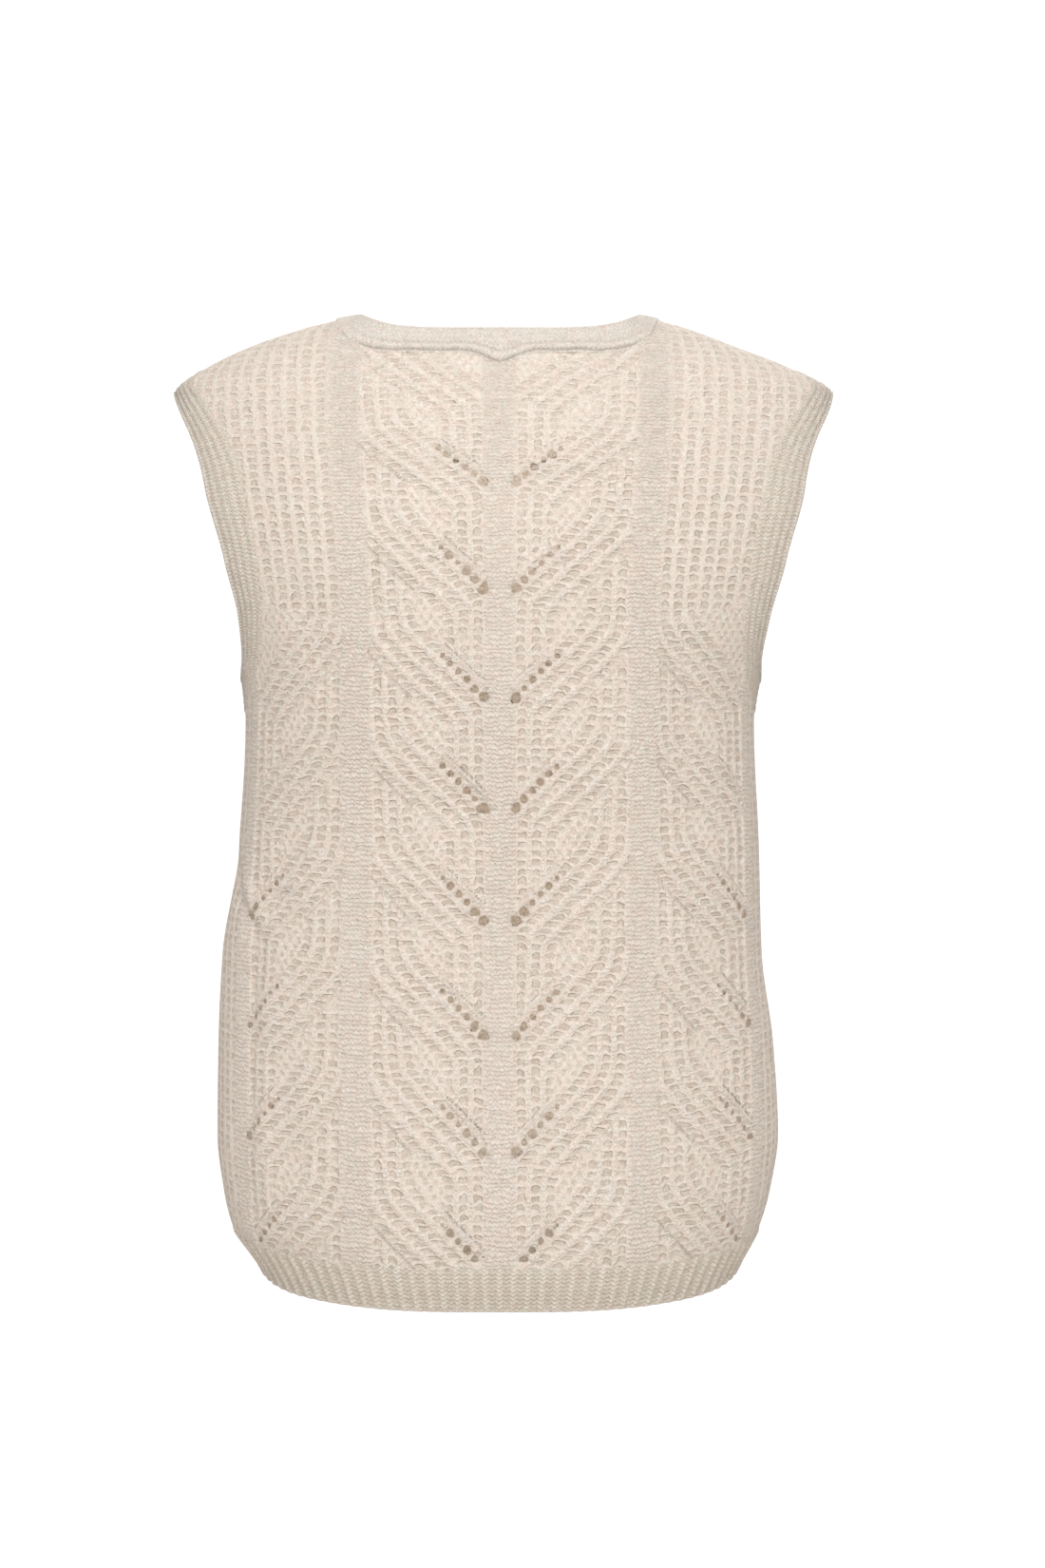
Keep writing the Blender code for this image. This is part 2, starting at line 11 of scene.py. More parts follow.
import bpy
import numpy as np
from bpy.props import FloatProperty, FloatVectorProperty, IntProperty, PointerProperty
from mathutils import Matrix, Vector


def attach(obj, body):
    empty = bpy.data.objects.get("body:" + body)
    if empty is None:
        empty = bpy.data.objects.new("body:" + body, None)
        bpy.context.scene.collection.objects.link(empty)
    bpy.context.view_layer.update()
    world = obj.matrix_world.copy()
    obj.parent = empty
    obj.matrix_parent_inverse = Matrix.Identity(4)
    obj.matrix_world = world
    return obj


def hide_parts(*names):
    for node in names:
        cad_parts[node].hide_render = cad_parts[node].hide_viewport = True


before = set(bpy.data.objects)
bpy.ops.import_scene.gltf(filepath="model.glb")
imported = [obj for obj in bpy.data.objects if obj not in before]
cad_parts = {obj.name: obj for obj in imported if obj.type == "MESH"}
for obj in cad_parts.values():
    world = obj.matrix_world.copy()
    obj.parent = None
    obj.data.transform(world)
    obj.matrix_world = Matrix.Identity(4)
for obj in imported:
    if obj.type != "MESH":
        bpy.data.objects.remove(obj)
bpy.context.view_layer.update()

bl_info = {
    "name": "Knitted lace vest",
    "version": (1, 0, 0),
    "blender": (4, 5, 0),
    "location": "View3D > Sidebar > Vest",
    "description": "Builds a knitted lace sweater vest round its packed solids",
    "category": "Add Mesh",
}

METRE = 0.001  # one millimetre in metres
TAU = 2.0 * math.pi

# ---- The worn form: level rings, from the neck down (mm) --------------------------------------
SECTIONS = (
    # height, half width left, right, depth back, front
    (8.0, 66.0, 66.0, 48.0, 34.0),
    (0.0, 90.5, 90.0, 56.0, 42.0),
    (-4.0, 102.0, 98.0, 58.5, 45.0),
    (-9.0, 122.0, 116.0, 61.5, 48.5),
    (-20.0, 155.0, 145.5, 67.5, 56.0),
    (-34.0, 184.0, 181.0, 74.0, 65.0),
    (-49.0, 202.0, 205.5, 80.0, 74.0),
    (-70.0, 205.0, 210.0, 86.5, 86.0),
    (-110.0, 203.5, 210.0, 95.5, 104.0),
    (-155.0, 188.0, 195.0, 101.5, 120.0),
    (-190.0, 170.5, 175.5, 104.0, 127.0),
    (-220.0, 161.0, 162.0, 104.5, 128.0),
    (-252.0, 158.5, 157.5, 104.0, 126.0),
    (-335.0, 163.5, 161.0, 99.0, 116.0),
    (-395.0, 173.5, 163.0, 100.5, 113.0),
    (-450.0, 176.0, 170.0, 106.0, 114.0),
    (-506.0, 176.5, 173.0, 112.5, 117.0),
    (-540.0, 172.5, 168.0, 115.0, 118.0),
    (-561.0, 167.5, 162.0, 115.0, 117.0),
    (-586.0, 150.5, 149.0, 111.0, 112.5),
    (-612.0, 137.0, 135.5, 104.0, 106.0),
)
SQUARENESS = 2.3  # 2 is an ellipse; more is squarer
RING_POWER = 2.0 / SQUARENESS
# Which way a side lies along x and a face along y.
WAY = {"left": -1.0, "right": 1.0, "back": -1.0, "front": 1.0}
LEVELS = np.linspace(8.0, -612.0, 311)
TURNS = np.linspace(0.0, math.pi / 2, 181)
SHARES = np.linspace(0.0, 1.0, 361)

# ---- Neck, armholes and hem (mm) --------------------------------------------------------------
NECK_SEAM_TOP = -3.6  # where the band's seam crosses the shoulder
BACK_NECK_DROP, BACK_BAND = 14.5, 14.4
FRONT_NECK_DROP, FRONT_BAND = 72.0, 15.0
NECK_POWERS = {"back": (5.0, 10.5), "front": (2.8, 3.0)}  # how square the band's edge and seam are
SEAM_DIP, SEAM_DIP_WIDTH = 7.6, 12.0  # the band's seam sags over the centre ladder
BAND_LEAN = 5.0  # at the shoulders the band leans in over the neck
ARMHOLE = {"top": -48.7, "bottom": -227.0, "back": 55.0, "front": 58.0}
BORDER = {"top": -34.0, "bottom": -247.0, "back": 71.0, "front": 74.0}
HEM, HEM_RIB_TOP = -605.5, -580.0
SIDE_RISE, RISE_POWER, RISE_START = 18.5, 2.9, -250.0
SETTLE = 3  # passes that fit runs and heights to each other

# ---- The lace, in stitches across and repeats down ---------------------------------------------
STITCH = 2.9  # width of one stitch, mm
LADDER_STEP = 30.0  # stitches from one purl ladder to the next
FIRST_REPEAT = -109.2  # height of the first line's lowest eyelet at the centre, mm
REPEAT, TOP_REPEAT, REPEAT_STRETCH = 64.0, 53.0, 0.45
SPREAD = 0.09  # the shoulders hold the cloth this much wider
FRONT_SHIFT = 0.5  # the front's leaves lie half a repeat below the back's
ROWS = 24  # knitted rows in a repeat
EDGE_WALE = 3.0  # stitches from the middle of a ladder to its edge wale
RIDGE_STEP, RIDGE_LAG, RIDGE_DROP = 3.0, 0.07, 0.075
SLANT_STITCHES, SLANT_REPEATS = 18.0, 0.74  # a ridge crosses this far between its upright ends
WALE = 1.35  # half width of an edge wale, mm
LEAF_END, LEAF_TAPER = 0.99, 0.123  # where a leaf ends, and how much sooner each next ridge does
MESH_REPEATS = 1.35  # beside the armholes the lace is plain mesh down to here
SIDE_LEAF, SIDE_EYELETS = 2.0, 4.0  # first side leaf, and the first with open eyelets
HOLES_ROUND = 12.0  # holes along one repeat of a ridge, two rows each
EYELET_FIRST, EYELET_STEP = 3.4, 1.7
EYELET_SLOPE, EYELET_BEND = 0.083, 0.0014
LAST_EYELETS = 7.0  # repeats down to the last line of eyelets
EYELET_CLEAR = 7.0  # plain cloth left beside a seam or a border, mm
CUT_WITHIN = 0.86  # cells nearer to an eyelet's middle than this, in radii, are cut out
# Across and down, in mm, from the eyelet beside the V ladder outwards.
EYELET_RADII = ((3.1, 3.2), (2.4, 2.5), (2.3, 2.3), (2.0, 2.2), (2.4, 2.2), (1.8, 1.8))


def smooth(value):
    """Ramp from 0 to 1 with level ends: v squared times 3 - 2 v."""
    value = np.clip(value, 0.0, 1.0)
    return value * value * (3.0 - 2.0 * value)


def bell(value):
    """Bell of height 1: e to the minus value squared."""
    return np.exp(-np.square(value))


def soft_step(value, low_blend=0.05, high_blend=0.15):
    """0 below 0 and 1 above 1, straight between, each corner rounded by its blend."""
    return 0.5 + 0.5 * (np.hypot(value, low_blend) - np.hypot(value - 1.0, high_blend))


def wander(a, b, seed, count=5):
    """Slow wandering from -1 to 1: a mean of sine waves in random directions."""
    draw = np.random.default_rng(seed)
    angle, phase = draw.uniform(0, TAU, count), draw.uniform(0, TAU, count)
    rate = draw.uniform(0.6, 1.7, count)
    total = sum(
        np.sin(r * (a * math.cos(w) + b * math.sin(w)) + s) for w, s, r in zip(angle, phase, rate)
    )
    return total / math.sqrt(count)


# ---- The form ---------------------------------------------------------------------------------
def section_column(name):
    """One column of SECTIONS at every level, on cubic spans whose slopes are harmonic means."""
    rows = np.array(SECTIONS)
    heights = rows[::-1, 0]
    values = rows[::-1, {"left": 1, "right": 2, "back": 3, "front": 4}[name]]
    slopes = np.diff(values) / np.diff(heights)
    tangents = np.zeros_like(values)
    same_way = slopes[1:] * slopes[:-1] > 0.0
    mean = 2.0 * slopes[1:] * slopes[:-1] / np.where(same_way, slopes[1:] + slopes[:-1], 1.0)
    tangents[1:-1] = np.where(same_way, mean, 0.0)
    tangents[0], tangents[-1] = slopes[0], slopes[-1]
    index = np.clip(np.searchsorted(heights, LEVELS) - 1, 0, len(heights) - 2)
    span = heights[index + 1] - heights[index]
    t = (LEVELS - heights[index]) / span
    return (
        values[index] * (1.0 + 2.0 * t) * (1.0 - t) ** 2
        + values[index + 1] * t**2 * (3.0 - 2.0 * t)
        + tangents[index] * span * t * (1.0 - t) ** 2
        - tangents[index + 1] * span * t**2 * (1.0 - t)
    )


COLUMNS = {name: section_column(name) for name in ("left", "right", "back", "front")}
SLOPES = {name: np.gradient(column, LEVELS) for name, column in COLUMNS.items()}


def at_level(table, height):
    """A column's value at a height."""
    return np.interp(height, LEVELS[::-1], table[::-1])


def ring_table(side, face):
    """Distance along each level ring, x = half sin^p, y = depth cos^p, from the centre."""
    x = COLUMNS[side][:, None] * np.sin(TURNS) ** RING_POWER
    y = COLUMNS[face][:, None] * np.cos(TURNS).clip(0.0) ** RING_POWER
    steps = np.hypot(np.diff(x, axis=1), np.diff(y, axis=1))
    return np.concatenate([np.zeros((len(LEVELS), 1)), np.cumsum(steps, axis=1)], axis=1)


RING_RUNS = {(s, f): ring_table(s, f) for s in ("left", "right") for f in ("back", "front")}
RING_TURNS = {
    key: np.array([np.interp(SHARES * row[-1], row, TURNS) for row in table])
    for key, table in RING_RUNS.items()
}


def lookup(table, height, column):
    """Value between the rows (levels) and columns of a table."""
    level = np.clip((LEVELS[0] - height) / (LEVELS[0] - LEVELS[1]), 0, len(LEVELS) - 1.001)
    column = np.clip(column, 0, table.shape[1] - 1.001)
    row, along = level.astype(int), column.astype(int)
    a, b = level - row, column - along
    upper = table[row, along] * (1 - b) + table[row, along + 1] * b
    lower = table[row + 1, along] * (1 - b) + table[row + 1, along + 1] * b
    return upper * (1 - a) + lower * a


def run_to(turn, height, side, face):
    """Distance along the ring at a height, from the centre to a turn."""
    return lookup(RING_RUNS[side, face], np.asarray(height, float), turn / (TURNS[1] - TURNS[0]))


def quarter(height, side, face):
    """Length of a ring from the centre of a panel to its side."""
    return at_level(RING_RUNS[side, face][:, -1], height)


def both_quarters(run, height, face):
    """Length of the quarter ring that a signed run lies on."""
    return np.where(run < 0.0, quarter(height, "left", face), quarter(height, "right", face))


def folds(turn, height, side, face):
    """Outward shift: a valley down each side seam, soft flutes over the hips, the spine."""
    low = smooth((-300.0 - height) / 120.0)
    seam = bell((math.pi / 2 - turn) / 0.09)
    deep = 3.2 if side == "left" else 2.2
    hips = smooth((-380.0 - height) / 160.0) * np.sin(turn) ** 2
    lean = 0.4 if face == "back" else 1.9
    flute = 1.6 * hips * np.cos(5.0 * turn + lean) * np.cos(turn).clip(0.0) ** 0.5
    spine = -1.5 * bell(turn / 0.30) * smooth((-60.0 - height) / 90.0) * (face == "back")
    return -deep * low * seam + flute + spine


def side_fold(turn, height, side, face):
    """The fold down the wearer's left of the back: a valley outside a soft ridge, from the side
    at the waist to 57 degrees round the hip."""
    if side != "left" or face != "back":
        return 0.0
    line = 1.0 + 0.42 * smooth((height + 392.0) / 62.0) + 0.05 * smooth((-480.0 - height) / 60.0)
    shown = smooth((-318.0 - height) / 40.0) * smooth((height + 574.0) / 60.0)
    return shown * (1.3 * bell((turn - line + 0.11) / 0.09) - 2.6 * bell((turn - line) / 0.085))


# Creases, listed one by one: troughs with a soft ridge beside them.
CREASES = {  # from run, height, to run, height, bow, width, depth (mm)
    "back": (
        (-118.0, -300.0, -150.0, -420.0, 8.0, 14.0, 2.0),
        (-150.0, -430.0, -128.0, -560.0, -6.0, 12.0, 1.7),
        (-96.0, -450.0, -104.0, -572.0, 5.0, 11.0, 1.1),
        (96.0, -196.0, 122.0, -330.0, -7.0, 13.0, 1.6),
        (128.0, -350.0, 140.0, -500.0, 6.0, 13.0, 1.7),
        (84.0, -470.0, 96.0, -574.0, -5.0, 12.0, 1.2),
        (-70.0, -60.0, -128.0, -128.0, 6.0, 10.0, 1.2),
        (66.0, -62.0, 134.0, -118.0, -6.0, 10.0, 1.1),
        (-30.0, -36.0, -44.0, -70.0, 2.0, 5.0, 0.9),
        (38.0, -38.0, 52.0, -66.0, -2.0, 5.0, 0.8),
        (-132.0, -150.0, -112.0, -232.0, -4.0, 11.0, 1.3),
        (20.0, -520.0, 34.0, -586.0, 3.0, 10.0, 0.9),
    ),
    "front": (
        (-92.0, -120.0, -140.0, -215.0, 7.0, 12.0, 1.7),
        (94.0, -118.0, 144.0, -208.0, -7.0, 12.0, 1.6),
        (-136.0, -240.0, -118.0, -350.0, -6.0, 13.0, 1.6),
        (130.0, -235.0, 120.0, -330.0, 6.0, 13.0, 1.4),
        (-124.0, -400.0, -134.0, -560.0, 8.0, 13.0, 1.9),
        (118.0, -410.0, 132.0, -556.0, -8.0, 13.0, 1.8),
        (-30.0, -470.0, -46.0, -584.0, -5.0, 11.0, 1.1),
        (46.0, -480.0, 40.0, -586.0, 4.0, 11.0, 1.1),
        (-60.0, -100.0, -52.0, -160.0, 3.0, 9.0, 0.9),
        (62.0, -96.0, 50.0, -150.0, -3.0, 9.0, 0.9),
    ),
}


def creases(run, height, face):
    """Shift by every crease: minus a bell of the distance to its bowed line, plus half as high
    a bell to one side, both fading out at the line's ends."""
    shift = np.zeros(np.shape(run))
    for x0, z0, x1, z1, bow, width, depth in CREASES[face]:
        length = math.hypot(x1 - x0, z1 - z0)
        way_x, way_z = (x1 - x0) / length, (z1 - z0) / length
        t = ((run - x0) * way_x + (height - z0) * way_z) / length
        across = (run - x0) * way_z - (height - z0) * way_x - bow * 4.0 * t * (1.0 - t)
        fade = np.sin(math.pi * np.clip(t, 0.0, 1.0)) ** 1.4
        wide = width * (0.8 + 0.4 * np.clip(t, 0.0, 1.0))
        shape = -bell(across / wide) + 0.5 * bell((across - 1.9 * wide) / (1.1 * wide))
        shift = shift + depth * fade * shape
    return shift


def on_form(turn, height, side, face, out=0.0):
    """Points of the form, (half sin^p turn, depth cos^p turn, height), moved out along the
    normal of |x/half|^n + |y/depth|^n = 1."""
    turn, height = np.broadcast_arrays(np.asarray(turn, float), np.asarray(height, float))
    half, depth = at_level(COLUMNS[side], height), at_level(COLUMNS[face], height)
    across = np.sin(turn).clip(0.0) ** RING_POWER
    along = np.cos(turn).clip(0.0) ** RING_POWER
    sideways, forward = WAY[side], WAY[face]
    lift = across**SQUARENESS * at_level(SLOPES[side], height) / half
    lift = lift + along**SQUARENESS * at_level(SLOPES[face], height) / depth
    normal = np.stack(
        [
            sideways * across ** (SQUARENESS - 1.0) / half,
            forward * along ** (SQUARENESS - 1.0) / depth,
            -lift,
        ],
        axis=-1,
    )
    normal /= np.linalg.norm(normal, axis=-1, keepdims=True)
    place = np.stack([sideways * half * across, forward * depth * along, height], axis=-1)
    run = run_to(turn, height, side, face) * sideways
    move = np.asarray(out) + folds(turn, height, side, face)
    move = move + creases(run, height, face) * smooth(np.cos(turn) * 3.0)
    move = move + side_fold(turn, height, side, face)
    return place + normal * np.broadcast_to(move, height.shape)[..., None]


def cloth(run, height, face, out=0.0):
    """Points of a panel: run is signed, + to the wearer's right."""
    run, height = np.broadcast_arrays(np.asarray(run, float), np.asarray(height, float))
    out = np.broadcast_to(np.asarray(out, float), run.shape)
    places = np.zeros(run.shape + (3,))
    for side, chosen in (("left", run < 0.0), ("right", run >= 0.0)):
        share = np.abs(run[chosen]) / quarter(height[chosen], side, face)
        turn = lookup(RING_TURNS[side, face], height[chosen], share * (len(SHARES) - 1))
        places[chosen] = on_form(turn, height[chosen], side, face, out[chosen])
    return places


# ---- Outlines ---------------------------------------------------------------------------------
def neck_line(share, down, side, face):
    """Turn and height on the neckband: share 0 at the centre to 1 at the shoulder, down 0 at its
    edge to 1 at its seam. Heights are powers of share between the centre and the shoulder."""
    share, down = np.broadcast_arrays(np.asarray(share, float), np.asarray(down, float))
    back = face == "back"
    drop, band = (BACK_NECK_DROP, BACK_BAND) if back else (FRONT_NECK_DROP, FRONT_BAND)
    edge_power, seam_power = NECK_POWERS[face]
    edge_width = at_level(COLUMNS[side], 0.0)
    seam_width = at_level(COLUMNS[side], NECK_SEAM_TOP)
    edge = -drop * (1.0 - share**edge_power)
    seam = NECK_SEAM_TOP - (drop + band + NECK_SEAM_TOP) * (1.0 - share**seam_power)
    seam = seam - back * SEAM_DIP * bell(share * seam_width / SEAM_DIP_WIDTH)
    x = share * (edge_width + (seam_width - edge_width) * down)
    height = edge + (seam - edge) * down
    reach = np.clip(x / at_level(COLUMNS[side], height), 0.0, 1.0)
    turn = np.arcsin(reach ** (SQUARENESS / 2.0))
    return np.where(share >= 1.0, math.pi / 2, turn), height


def neck_top(run, face):
    """Height of the neckband's seam over a run of a panel."""
    shares = np.sin(np.linspace(0.0, math.pi / 2, 60))
    tops = []
    for side in ("left", "right"):
        turn, height = neck_line(shares, 1.0, side, face)
        tops.append(np.interp(np.abs(run), run_to(turn, height, side, face), height))
    return np.where(run < 0.0, tops[0], tops[1])


def middle_and_half(oval):
    """Height of an oval's middle, and half its height."""
    return (oval["top"] + oval["bottom"]) / 2, (oval["top"] - oval["bottom"]) / 2


def armhole_line(angle, inward, side, face):
    """Run and height beside an armhole: angle 0 at the shoulder to pi at the underarm, inward 0
    at the edge to 1 at the inner side of the border. Ovals, seen from the side."""
    oval = {name: ARMHOLE[name] + (BORDER[name] - ARMHOLE[name]) * inward for name in ARMHOLE}
    middle, half_height = middle_and_half(oval)
    height = middle + half_height * np.cos(angle)
    depth = oval[face] * np.sin(angle).clip(0.0)
    share = np.clip(depth / at_level(COLUMNS[face], height), 0.0, 1.0)
    return run_to(np.arccos(share ** (SQUARENESS / 2.0)), height, side, face), height


def panel_limit(height, side, face):
    """Run at which the lace stops at a height: the side seam, or the armhole's border."""
    middle, half_height = middle_and_half(BORDER)
    angle = np.arccos(np.clip((height - middle) / half_height, -1.0, 1.0))
    border = armhole_line(angle, 1.0, side, face)[0]
    beside = np.abs(height - middle) < half_height
    return np.where(beside, border, quarter(height, side, face))


def side_rise(run, height, face):
    """How far the side seam lifts the row that is at height at the centre."""
    ramp = smooth((RISE_START - height) / (RISE_START - HEM))
    share = np.clip(np.abs(run) / both_quarters(run, height, face), 0.0, 1.0)
    return SIDE_RISE * ramp * share**RISE_POWER


# ---- The lace ---------------------------------------------------------------------------------
def level_of(repeat):
    """Height at the centre of a place so many repeats down."""
    height = np.where(repeat < 0.0, TOP_REPEAT, REPEAT)
    return FIRST_REPEAT - height * repeat - REPEAT_STRETCH * repeat * np.abs(repeat)


def repeat_at(level):
    """Repeats down to a level: the root of the quadratic in level_of."""
    fall = FIRST_REPEAT - level
    height = np.where(fall < 0.0, TOP_REPEAT, REPEAT)
    root = np.sqrt(height**2 + 4.0 * REPEAT_STRETCH * np.abs(fall)) - height
    return np.sign(fall) * root / (2.0 * REPEAT_STRETCH)


def stitch_width(level):
    """Width of a stitch, spread by the shoulders."""
    return STITCH * (1.0 + SPREAD * smooth((level + 200.0) / 160.0))


def from_ladder(stitch):
    """Stitches from the nearest V ladder, 0 to 30."""
    return np.abs((stitch + LADDER_STEP) % (2.0 * LADDER_STEP) - LADDER_STEP)


def slant(place, down):
    """Share of a leaf's slant still to cross, at a place among its ridges (1 to 3, with the
    eyelets at a half) and a number of repeats below its lowest eyelet."""
    late = RIDGE_DROP + RIDGE_LAG * (place - 1.0)
    return soft_step((late - down) / SLANT_REPEATS)


def place_in_leaf(c, down):
    """Place among a leaf's ridges and the slant's share there, from c stitches off the V ladder:
    the root of EDGE_WALE + RIDGE_STEP (place - 1) + SLANT_STITCHES slant(place) = c, by
    Newton's steps."""
    place = 1.0 + (c - EDGE_WALE) / RIDGE_STEP - 3.0
    for _ in range(14):
        share = slant(place, down)
        rate = (slant(place + 0.01, down) - share) / 0.01
        miss = EDGE_WALE + RIDGE_STEP * (place - 1.0) + SLANT_STITCHES * share - c
        place = place - miss / (RIDGE_STEP + SLANT_STITCHES * rate)
    return place, slant(place, down)


def leaf_fields(c, q, first):
    """Place among the ridges, phase along them (whole at each hole), how strongly they show and
    the slant's share, for the leaf that shows most at each point. Each of three leaves, from the
    upper down, fades out at its own borders and starts where the one above has ended."""
    base = np.floor(q - RIDGE_DROP + SLANT_REPEATS * c / SLANT_STITCHES)
    best, nearest = [np.zeros_like(q) for _ in range(4)], np.full_like(q, -99.0)
    room = 1.0
    for leaf in (base - 1.0, base, base + 1.0):
        down = q - leaf
        place, share = place_in_leaf(c, down)
        ended = down - (LEAF_END - LEAF_TAPER * place)
        shows = smooth((place - 0.08) / 0.35) * smooth((3.92 - place) / 0.35) * room
        shows = shows * smooth(-ended / 0.03) * (leaf >= first)
        phase = HOLES_ROUND * (down - 0.30 * share)
        found = (place, phase, shows, share)
        near = shows - 0.01 * np.maximum(np.maximum(-place, place - 4.0), 0.0)
        closer = near > nearest
        nearest = np.where(closer, near, nearest)
        best = [np.where(closer, new, old) for new, old in zip(found, best)]
        room = np.maximum(smooth((place - 3.85) / 0.4), smooth(ended / 0.02 + 1.0))
    return best


def eyelet_distance(p, q, width, span):
    """Distance from the nearest eyelet's middle in radii (1 on its rim), and that middle, for
    stitches of a width and repeats of a span in mm. Eyelets are wider below than above, and step
    away from the V ladder along a slightly bent slanting line."""
    ladder = np.round(p / (2.0 * LADDER_STEP)) * 2.0 * LADDER_STEP
    way = np.where(p < ladder, -1.0, 1.0)
    c, at_side = np.abs(p - ladder), np.abs(ladder) > 1.0
    best = np.full_like(p, 99.0)
    middle_p, middle_q = np.zeros_like(p), np.zeros_like(p)
    guess = np.round((c - EYELET_FIRST) / EYELET_STEP)
    radii = np.array(EYELET_RADII)
    for shift in (-1, 0, 1):
        k = np.clip(guess + shift, 0, len(EYELET_RADII) - 1)
        rise = EYELET_SLOPE * k - EYELET_BEND * k * k
        leaf = np.round(q + rise)
        place_p = EYELET_FIRST + EYELET_STEP * k
        place_q = leaf - rise
        uneven = 1.0 + 0.16 * wander(leaf * 3.1 + way, k * 2.3, 17)
        uneven = uneven * np.where(at_side, 0.8, 1.0)
        size = radii[k.astype(int)] * uneven[..., None]
        sunk = (q - place_q) * span / size[..., 1]
        aside = (c - place_p) * width / size[..., 0] * (1.0 - 0.28 * np.clip(sunk, -1.2, 1.2))
        far = np.hypot(aside, sunk) * (1.0 + 0.14 * wander(p * 2.6, q * 52.0, 19))
        real = (leaf >= np.where(at_side, SIDE_EYELETS, 0.0)) & (leaf <= LAST_EYELETS)
        far = np.where(real & (np.abs(p) < 2.0 * LADDER_STEP), far, 99.0)
        closer = far < best
        best = np.where(closer, far, best)
        middle_p = np.where(closer, ladder + way * place_p, middle_p)
        middle_q = np.where(closer, place_q, middle_q)
    return best, middle_p, middle_q


def lace_fields(p, q):
    """The knit's relief in mm, and what it is at each place: the ridges and holes of a leaf
    (place, phase, how strongly they show), and shares of plain mesh, seed stitch and purl."""
    p = p + 0.14 * wander(p * 0.09, q * 2.1, 23)
    q = q + 0.006 * wander(p * 0.12, q * 3.0, 29)
    c = from_ladder(p)
    outer = np.abs(p) > LADDER_STEP
    place, phase, shows, share = leaf_fields(c, q, np.where(outer, SIDE_LEAF, -1.0))
    plain = outer * (1.0 - smooth((q - MESH_REPEATS + 0.012 * (LADDER_STEP - c)) / 0.1))
    plain = np.maximum(plain, smooth((np.abs(p) - 2.0 * LADDER_STEP - 0.5) / 0.5))
    shows = shows * (1.0 - plain)
    v_shown = 1.0 - (outer & (np.abs(p) > 45.0)) * plain
    v_edge, a_edge = c - EDGE_WALE, LADDER_STEP - EDGE_WALE - c
    purl = np.maximum(smooth((0.3 - v_edge) / 0.6) * v_shown, smooth((0.3 - a_edge) / 0.6))
    wale = np.maximum(bell(v_edge * STITCH / WALE) * v_shown, bell(a_edge * STITCH / WALE))
    lace = 1.0 - purl
    shows = shows * lace
    # Light from above fills the gaps near the shoulders, so less shade and highlight is painted
    # into the lace there.
    drawn = 1.0 - 0.35 * smooth((0.8 - q) / 2.2)  # flatter knit, and less painted shade and highlight, at the shoulders
    mesh = plain * lace * smooth(np.minimum(np.where(v_shown > 0.5, v_edge, 9.0), a_edge) - 0.3)
    seed = (1.0 - plain) * lace * (1.0 - shows)
    furrow = 0.5 - 0.5 * np.cos(TAU * place)
    diagonal = smooth(10.0 * share * (1.0 - share))
    hole = smooth(1.5 * furrow - 0.4) * (0.3 + 0.7 * np.cos(math.pi * phase) ** 2) * shows
    ridge = (1.0 - furrow) ** 3.0 * shows * (0.32 + 0.26 * diagonal)
    height = np.maximum(ridge, 0.7 * wale) - 0.7 * hole - 0.3 * (mesh + 0.6 * seed)
    height = height + purl * (0.2 - 0.12 * np.cos(TAU * ROWS * q))
    ladder_middle = smooth(1.0 - np.minimum(c, LADDER_STEP - c) / 3.0)
    height = height + 0.25 * purl * ladder_middle
    leaf = np.stack([place, phase, shows * drawn], axis=-1)
    return height - 0.1, leaf, np.stack([mesh * drawn, seed * drawn, purl], axis=-1)


# ---- Meshes -----------------------------------------------------------------------------------
def grid_quads(rows, columns, closed=False):
    """Corner numbers of every cell of a grid stored row by row; closed joins the last column to
    the first."""
    wide = columns if closed else columns - 1
    row, column = np.meshgrid(np.arange(rows - 1), np.arange(wide), indexing="ij")
    after = (column + 1) % columns
    quads = [row * columns + column, row * columns + after]
    quads += [(row + 1) * columns + after, (row + 1) * columns + column]
    return np.stack(quads, axis=-1).reshape(-1, 4)


def without_repeats(quads):
    """Splits cells into true quads and triangles, where one side has shrunk to a point."""
    same = quads == np.roll(quads, -1, axis=1)
    count = same.sum(axis=1)
    triangles = quads[count == 1][~same[count == 1]].reshape(-1, 3)
    real = (triangles != np.roll(triangles, 1, axis=1)).all(axis=1)
    whole = quads[count == 0]
    crossed = (whole[:, 0] == whole[:, 2]) | (whole[:, 1] == whole[:, 3])
    return whole[~crossed], triangles[real]


